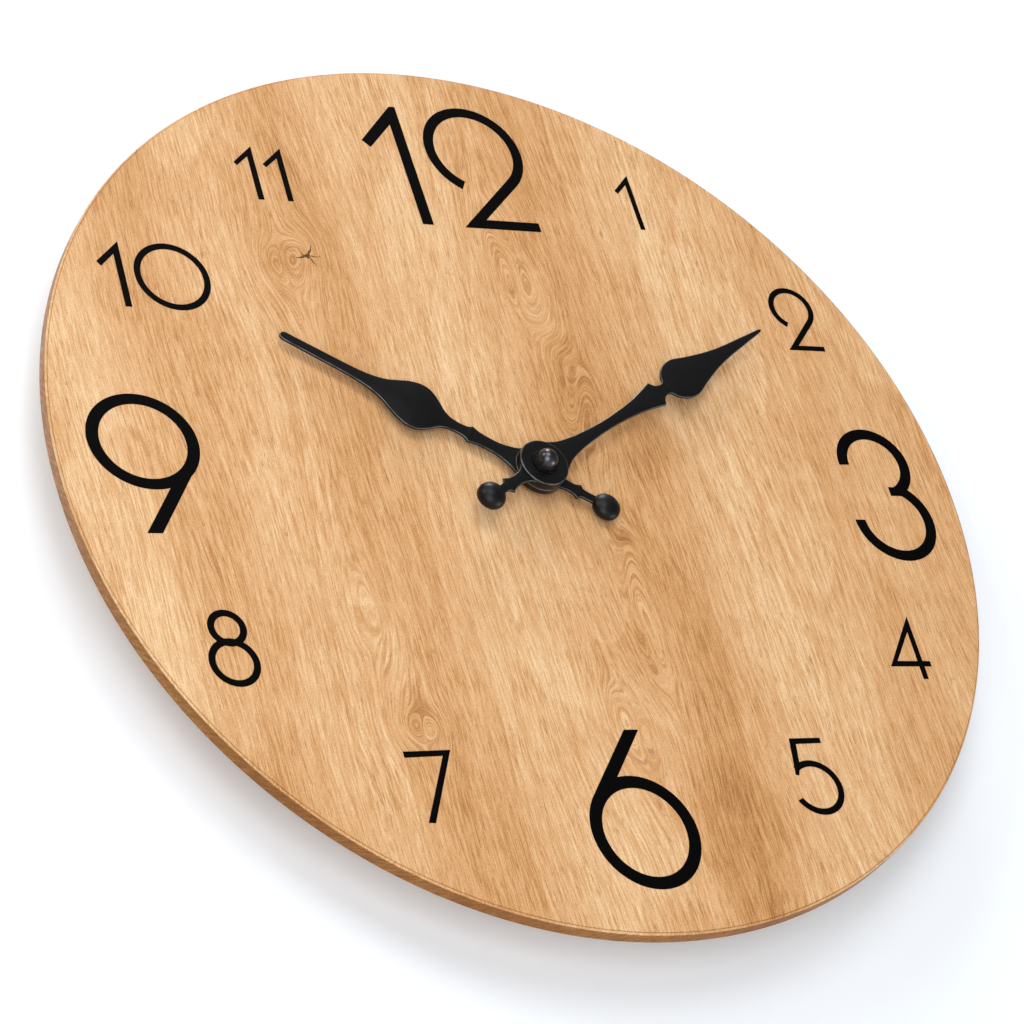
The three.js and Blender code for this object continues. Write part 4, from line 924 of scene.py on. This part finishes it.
HOUR_BLADE = (
    ((0.045, 0.79), (0.07, 0.61), (0.095, 0.46), (0.115, 0.375), (0.155, 0.27), (0.19, 0.25),
     (0.225, 0.26), (0.248, 0.3), (0.267, 0.365)),
    ((0.267, 0.365), (0.281, 0.26), (0.305, 0.22), (0.33, 0.225), (0.353, 0.27), (0.377, 0.39),
     (0.4, 0.61), (0.423, 0.81), (0.447, 0.95), (0.47, 1), (0.495, 0.98), (0.53, 0.86),
     (0.565, 0.66), (0.6, 0.465), (0.635, 0.34), (0.68, 0.25), (0.74, 0.205), (0.825, 0.19),
     (0.917, 0.176), (0.984, 0.17)),
    ((0.984, 0.17), (0.996, 0.11), (1, 0)),
)
HOUR_TAIL = (
    ((-0.045, 0.79), (-0.083, 0.3), (-0.095, 0.245), (-0.118, 0.205), (-0.141, 0.225),
     (-0.159, 0.32)),
    ((-0.159, 0.32), (-0.171, 0.19), (-0.194, 0.17), (-0.24, 0.176)),
)
# Each hand's angle from 12 in degrees, its ball's place as a share of its length, and its sizes:
# length and half width, then depths off the wall as (back, front) of the plate and of the boss,
# the boss's hole, and the ball's middle, half height and flat back.
HANDS = {
    "hour": {
        "angle": 302.0, "ball_share": 0.268, "runs": (HOUR_BLADE, HOUR_TAIL),
        "length": 85 * MM, "half_width": 8.5 * MM, "plate": (25.9 * MM, 26.8 * MM),
        "boss": (25.5 * MM, 27.7 * MM), "hole": 2.6 * MM, "ball": (26.2 * MM, 2.7 * MM, None),
    },
    "minute": {
        "angle": 60.8, "ball_share": 0.224, "runs": (MINUTE_BLADE, MINUTE_TAIL),
        "length": 108 * MM, "half_width": 6.9 * MM, "plate": (29.2 * MM, 30.1 * MM),
        "boss": (28.1 * MM, 30.7 * MM), "hole": 1.7 * MM, "ball": (30.1 * MM, 3.2 * MM, 29.2 * MM),
    },
}


def smooth_run(stations, steps):
    """A curve through the stations, each span shaped by its neighbours."""
    points = []
    last = len(stations) - 1
    for index in range(last):
        before, start = Vector(stations[max(index - 1, 0)]), Vector(stations[index])
        end, after = Vector(stations[index + 1]), Vector(stations[min(index + 2, last)])
        pull_start, pull_end = (end - before) / 2, (after - start) / 2
        for step in range(steps):
            share = step / steps
            square = (3 * (end - start) - 2 * pull_start - pull_end) * share**2
            cube = (2 * (start - end) + pull_start + pull_end) * share**3
            points.append(start + pull_start * share + square + cube)
    points.append(Vector(stations[last]))
    return points


def hand_outline(runs, length, half_width, steps=5):
    side = []
    for run in runs:
        stations = [(half_width * across, length * along) for along, across in run]
        side += smooth_run(stations, steps)[1 if side else 0 :]
    mirrored = [Vector((-point.x, point.y)) for point in reversed(side)]
    return side + (mirrored[1:] if abs(side[-1].x) < TINY * MM else mirrored)


def stamped_plate(name, outline, thickness, edge_round):
    """A flat plate of an outline with its edges rounded; x across, y along, z through it."""
    shape = bpy.data.curves.new(name, "CURVE")
    shape.dimensions = "2D"
    shape.fill_mode = "BOTH"
    shape.extrude = thickness / 2 - edge_round
    shape.bevel_depth = edge_round
    shape.bevel_resolution = 2
    shape.offset = -edge_round
    spline = shape.splines.new("POLY")
    spline.points.add(len(outline) - 1)
    for point, place in zip(spline.points, outline):
        point.co = (place.x, place.y, 0.0, 1.0)
    spline.use_cyclic_u = True
    holder = link(name, shape)
    mesh = evaluated_mesh(holder)
    bpy.data.objects.remove(holder)
    bpy.data.curves.remove(shape)
    return tidy_mesh(mesh)


def boss_mesh(name, hole, back, front):
    """The raised round middle of a hand."""
    inner = BOSS_RADIUS - BOSS_ROUND
    profile = [(hole, -back), (inner, -back)]
    profile += rounding(inner, -back - BOSS_ROUND, BOSS_ROUND, -90, 0)[1:]
    profile += rounding(inner, -front + BOSS_ROUND, BOSS_ROUND, 0, 90)
    profile += [(BOSS_RADIUS - 3 * BOSS_ROUND, -front), (hole, -front)]
    return turned(name, profile)


def ball_mesh(name, centre, depth, half_height, flat, steps=24):
    """A counterweight: a flattened ball, cut off at the back where it is soldered to the tail."""
    profile = []
    for step in range(steps + 1):
        angle = math.pi * (step / steps - 0.5)
        place = depth + half_height * math.sin(angle)
        if flat is None or place > flat + TINY * MM:
            profile.append((BALL_RADIUS * math.cos(angle) if step % steps else 0.0, -place))
    if flat is not None:
        edge = BALL_RADIUS * math.sqrt(max(0.0, 1 - ((flat - depth) / half_height) ** 2))
        profile = [(0.0, -flat), (edge, -flat), *profile]
    return turned(name, profile, 2 * steps, centre)


def make_hand(name, hands, hand):
    """A stamped blade and tail, a boss and a ball, welded into one hand."""
    back, front = hand["plate"]
    turn = math.radians(hand["angle"])
    sine, cosine = math.sin(turn), math.cos(turn)
    # From x across, y along and z to the viewer into the clock's own axes, at its angle from 12.
    middle = (back + front) / 2
    place = Matrix(((cosine, sine, 0, 0), (0, 0, -1, -middle), (-sine, cosine, 0, 0), (0, 0, 0, 1)))
    meshes = []
    for part, runs in zip(("_blade", "_tail"), hand["runs"]):
        outline = hand_outline(runs, hand["length"], hand["half_width"])
        meshes.append(stamped_plate(name + part, outline, front - back, hands.edge_round))
        meshes[-1].transform(place)
    reach = -hand["ball_share"] * hand["length"]
    centre = (reach * sine, reach * cosine)
    meshes.append(boss_mesh(name + "_boss", hand["hole"], *hand["boss"]))
    meshes.append(ball_mesh(name + "_ball", centre, *hand["ball"]))
    return new_piece(name, joined(name, meshes), hand_finish(name + "_paint", hands, centre), sharp=50.0)


# Operators


class CLOCK_OT_make_board(bpy.types.Operator):
    """Turns the round oak board with its broken front edge"""

    bl_idname = "clock.make_board"
    bl_label = "Board"

    def execute(self, context):
        dial = context.scene.clock_dial
        edge, chamfer, hole = dial.edge_break, dial.back_chamfer, dial.hole_radius
        soft = edge * 0.12
        inner, outer = RIM - edge, FACE + edge
        profile = [(hole, FACE), (RIM * 0.5, FACE), (inner - 4 * soft, FACE), (inner - soft, FACE)]
        profile += [(inner + soft * 0.7, FACE + soft * 0.7), (inner + 2 * soft, FACE + 2 * soft)]
        profile += [(RIM - 2 * soft, outer - 2 * soft), (RIM - soft * 0.7, outer - soft * 0.7)]
        profile += [(RIM, outer + soft), (RIM, outer + 3 * soft)]
        profile += [(RIM, BACK - chamfer), (RIM - chamfer, BACK), (RIM * 0.5, BACK), (hole, BACK)]
        oak = oak_finish(context.scene.clock_oak, edge)
        board = new_piece("board", turned("board", profile, 360), oak, 30.0)
        mount(board, "clock_frame", "wood_dial")
        return {"FINISHED"}


class CLOCK_OT_print_numerals(bpy.types.Operator):
    """Prints the numerals 1 to 12 on the board as one thin film of ink"""

    bl_idname = "clock.print_numerals"
    bl_label = "Numerals"

    def execute(self, context):
        dial = context.scene.clock_dial
        piece = new_piece("numerals", flat_numerals(FACE))
        run_tree(piece, *film_tree(ink_finish(dial)), thickness=dial.ink_thickness)
        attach(piece, "clock_frame")
        return {"FINISHED"}


class CLOCK_OT_make_hands(bpy.types.Operator):
    """Makes the hour and minute hands with their bosses and balls"""

    bl_idname = "clock.make_hands"
    bl_label = "Hands"

    def execute(self, context):
        for name, hand in HANDS.items():
            node = name + "_hand"
            piece = make_hand(node + "_dressed", context.scene.clock_hands, hand)
            mount(piece, name + "_unit", node)
        return {"FINISHED"}


class CLOCK_OT_make_cap_nut(bpy.types.Operator):
    """Turns the domed cap nut that holds the minute hand"""

    bl_idname = "clock.make_cap_nut"
    bl_label = "Cap nut"

    def execute(self, context):
        low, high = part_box("cap_nut")
        front, back = low[1], high[1]
        bore, brim, corner, steps = 1.2 * MM, 3.9 * MM, 0.1 * MM, 14
        flange = back - 0.6 * MM
        profile = [(bore, back)]
        profile += rounding(brim, back - corner, corner, -90, 0)
        profile += rounding(brim, flange + corner, corner, 0, 90)
        profile.append((CAP_DOME, flange))
        for step, angle in enumerate(spread(0, 90, steps)):
            radius = CAP_DOME * math.cos(angle) if step < steps else 0.0
            profile.append((radius, front + CAP_DOME - CAP_DOME * math.sin(angle)))
        profile += [(0.0, front + 1.0 * MM), (bore, back - 1.4 * MM)]
        name = "cap_nut_dressed"
        cap = new_piece(name, turned(name, profile, 72), cap_finish(context.scene.clock_hands), 40.0)
        mount(cap, "minute_unit", "cap_nut")
        return {"FINISHED"}


class CLOCK_OT_dress_case(bpy.types.Operator):
    """Rounds the edges of the movement's case, its cover, knob, hanger and cell"""

    bl_idname = "clock.dress_case"
    bl_label = "Case and hanger"

    def execute(self, context):
        movement = context.scene.clock_movement
        edge = movement.edge_round
        plastic = moulded_finish("case_moulding", movement.case)
        zinc = metal_finish("zinc_plate", tone(176, 178, 180), (0.4, 1.0, 3.0), 0.3, 0.46, 0.35)
        brass = metal_finish("turned_brass", tone(202, 162, 82), (1.0, 4.0, 1.0), 0.22, 0.36, 0.3)
        rubber = moulded_finish("rubber", tone(24, 24, 25), 0.03, 0.62, 0.78, Specular_IOR_Level=0.3)
        for node, edge_round, finish, body, slot in (
            ("movement_case", edge, plastic, "clock_frame", "case_plastic"),
            ("rear_cover", edge * 0.6, plastic, "clock_frame", "case_plastic"),
            ("setting_knob", 0.15 * MM, plastic, "setting_unit", "case_plastic"),
            ("hanger_plate", 0.15 * MM, zinc, "clock_frame", "zinc_steel"),
            ("hex_nut", 0.12 * MM, brass, "clock_frame", "brass_parts"),
            ("brass_washer", 0.08 * MM, brass, "clock_frame", "brass_parts"),
            ("battery", 0.3 * MM, cell_finish(), "battery_cell", "battery_sleeve"),
        ):
            mount(dressed_copy(node, edge_round, finish), body, node)
        paint_nodes(brass, "threaded_bushing")
        paint_nodes(rubber, "rubber_washer")
        return {"FINISHED"}


class CLOCK_OT_wind_coil(bpy.types.Operator):
    """Winds the motor's coil in enamelled copper wire"""

    bl_idname = "clock.wind_coil"
    bl_label = "Coil"

    def execute(self, context):
        low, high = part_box("coil_winding")
        turns = context.scene.clock_movement.turns
        wire = (high[0] - low[0]) / (2 * turns + 2)
        reach = (high[2] - low[2]) / 2 - wire
        middle = ((low[1] + high[1]) / 2, (low[2] + high[2]) / 2)
        copper = wire_finish()
        winder = new_piece("winder", bpy.data.meshes.new("winder"))
        sizes = dict(turns=float(turns), length=2 * wire * turns, radius=reach, wire=wire)
        run_tree(winder, *coil_tree(copper), **sizes, start=(low[0] + wire, *middle))
        wound = winder.data.copy()
        bpy.data.objects.remove(winder)
        bore = 1.97 * MM
        profile = [(bore, low[0]), (reach, low[0]), (reach, high[0]), (bore, high[0])]
        inner = turned("inner_layers", profile, 64, middle, along_x=True)
        coil = new_piece("wound_coil", joined("wound_coil", [wound, inner]), copper)
        mount(coil, "clock_frame", "coil_winding")
        return {"FINISHED"}


class CLOCK_OT_finish_movement(bpy.types.Operator):
    """Gives the wheels, the motor, the circuit and the contacts their finishes"""

    bl_idname = "clock.finish_movement"
    bl_label = "Wheels and circuit"

    def execute(self, context):
        pale = context.scene.clock_movement.wheels
        natural = moulded_finish("natural_plastic", pale, 0.01, 0.28, 0.4, Subsurface_Weight=0.05)
        steel = metal_finish("plain_steel", tone(150, 152, 155), (2.0, 2.0, 0.5), 0.28, 0.42, 0.3)
        magnet = metal_finish("magnet", tone(96, 97, 101), (1.0, 1.0, 1.0), 0.35, 0.5, 0.4)
        paint_nodes(natural, "middle_plate", "coil_bobbin", "setting_pinion", "rotor_pinion")
        wheels = ("hour", "motion", "centre", "third", "fourth", "intermediate")
        paint_nodes(natural, *(name + "_wheel" for name in wheels))
        paint_nodes(steel, "stator", "coil_core", "quartz_crystal", "positive_contact", "negative_contact")
        paint_nodes(steel, "minute_arbor", "clutch_spring")
        paint_nodes(laminate_finish(), "circuit_board")
        paint_nodes(moulded_finish("potting", tone(18, 18, 19), 0.01, 0.18, 0.3), "clock_chip")
        paint_nodes(magnet, "rotor_magnet")
        return {"FINISHED"}


# The stage, in metres: the wall just behind the clock, the floor, and each lamp's place and size.
STAGE_SIDE = 4.0
WALL_PLACE, WALL_TOP = 0.0006, 3.0
FLOOR_HEIGHT, FLOOR_REACH = -1.6, 5.0
LAMPS = {
    "front": ((-0.68, -1.2, -0.6), 1.1),
    "key": ((-0.2, -1.38, 0.5), 0.9),
    "left": ((-0.93, -0.86, 0.8), 0.5),
    "low": ((0.98, -0.26, -1.11), 0.6),
    "top": ((0.3, -0.42, 1.4), 0.5),
    "back": ((-0.5, 1.3, 0.9), 0.8),
}
# The camera as solved from the photo, with its lens and sensor in millimetres.
CAMERA_PLACE = (-0.5930, -0.8426, -0.5690)
CAMERA_RIGHT = Vector((0.86198, -0.43195, -0.26534))
CAMERA_UP = Vector((-0.01997, -0.55194, 0.83364))
CAMERA_LENS, SENSOR_WIDTH, CAMERA_REACH = 140.6, 36.0, 50.0


class CLOCK_OT_set_stage(bpy.types.Operator):
    """Sets up the wall, the floor, the lamps and the camera"""

    bl_idname = "clock.set_stage"
    bl_label = "Stage"

    def execute(self, context):
        scene = context.scene
        studio = scene.clock_studio
        paint = wall_finish(studio)
        for name, near, far in (
            ("wall", (WALL_PLACE, FLOOR_HEIGHT), (WALL_PLACE, WALL_TOP)),
            ("floor", (-FLOOR_REACH, FLOOR_HEIGHT), (FLOOR_REACH, FLOOR_HEIGHT)),
        ):
            places = [(-STAGE_SIDE, *near), (STAGE_SIDE, *near), (STAGE_SIDE, *far), (-STAGE_SIDE, *far)]
            mesh = plain_mesh(name, places, [(0, 1, 2, 3)])
            mesh.materials.append(paint)
            link(name, mesh)

        for name, (place, size) in LAMPS.items():
            light = bpy.data.lights.new(name + "_lamp", "AREA")
            light.shape = "DISK"
            light.size = size
            light.energy = getattr(studio, name + "_power")
            aim = Vector(place).to_track_quat("Z", "Y").to_matrix().to_4x4()
            link(light.name, light).matrix_world = Matrix.Translation(place) @ aim

        room = bpy.data.worlds.new("room")
        room.use_nodes = True
        background = room.node_tree.nodes["Background"].inputs
        background["Color"].default_value = WHITE
        seen = outputs(room.node_tree, "ShaderNodeLightPath")["Is Camera Ray"]
        feed(background["Strength"], seen * (1.0 - studio.room_light) + studio.room_light)
        scene.world = room

        camera = bpy.data.cameras.new("camera")
        camera.sensor_width = SENSOR_WIDTH
        camera.lens = CAMERA_LENS
        camera.clip_end = CAMERA_REACH
        eye = link("camera", camera)
        turn = Matrix((CAMERA_RIGHT, CAMERA_UP, CAMERA_RIGHT.cross(CAMERA_UP))).transposed().to_4x4()
        eye.matrix_world = Matrix.Translation(CAMERA_PLACE) @ turn
        scene.camera = eye
        scene.view_settings.view_transform = "Standard"
        return {"FINISHED"}


class CLOCK_PT_panel(bpy.types.Panel):
    """Lists the steps that build the clock"""

    bl_idname = "CLOCK_PT_panel"
    bl_label = "Wall clock"
    bl_space_type = "VIEW_3D"
    bl_region_type = "UI"
    bl_category = "Wall Clock"

    def draw(self, context):
        for step in STEPS:
            self.layout.operator(step.bl_idname)
        for group in SETTINGS:
            box = self.layout.box()
            holder = getattr(context.scene, group)
            for name in holder.__annotations__:
                box.prop(holder, name)


STEPS = (
    CLOCK_OT_set_stage,
    CLOCK_OT_make_board,
    CLOCK_OT_print_numerals,
    CLOCK_OT_make_hands,
    CLOCK_OT_make_cap_nut,
    CLOCK_OT_dress_case,
    CLOCK_OT_wind_coil,
    CLOCK_OT_finish_movement,
)
SETTINGS = {
    "clock_dial": ClockDial,
    "clock_oak": ClockOak,
    "clock_hands": ClockHands,
    "clock_movement": ClockMovement,
    "clock_studio": ClockStudio,
}


def register():
    for kind in (*SETTINGS.values(), *STEPS, CLOCK_PT_panel):
        bpy.utils.register_class(kind)
    for name, kind in SETTINGS.items():
        setattr(bpy.types.Scene, name, bpy.props.PointerProperty(type=kind))


def unregister():
    for name in SETTINGS:
        delattr(bpy.types.Scene, name)
    for kind in (CLOCK_PT_panel, *reversed(STEPS), *SETTINGS.values()):
        bpy.utils.unregister_class(kind)


def main():
    register()
    for step in STEPS:
        group, name = step.bl_idname.split(".")
        getattr(getattr(bpy.ops, group), name)()


if __name__ == "__main__":
    main()
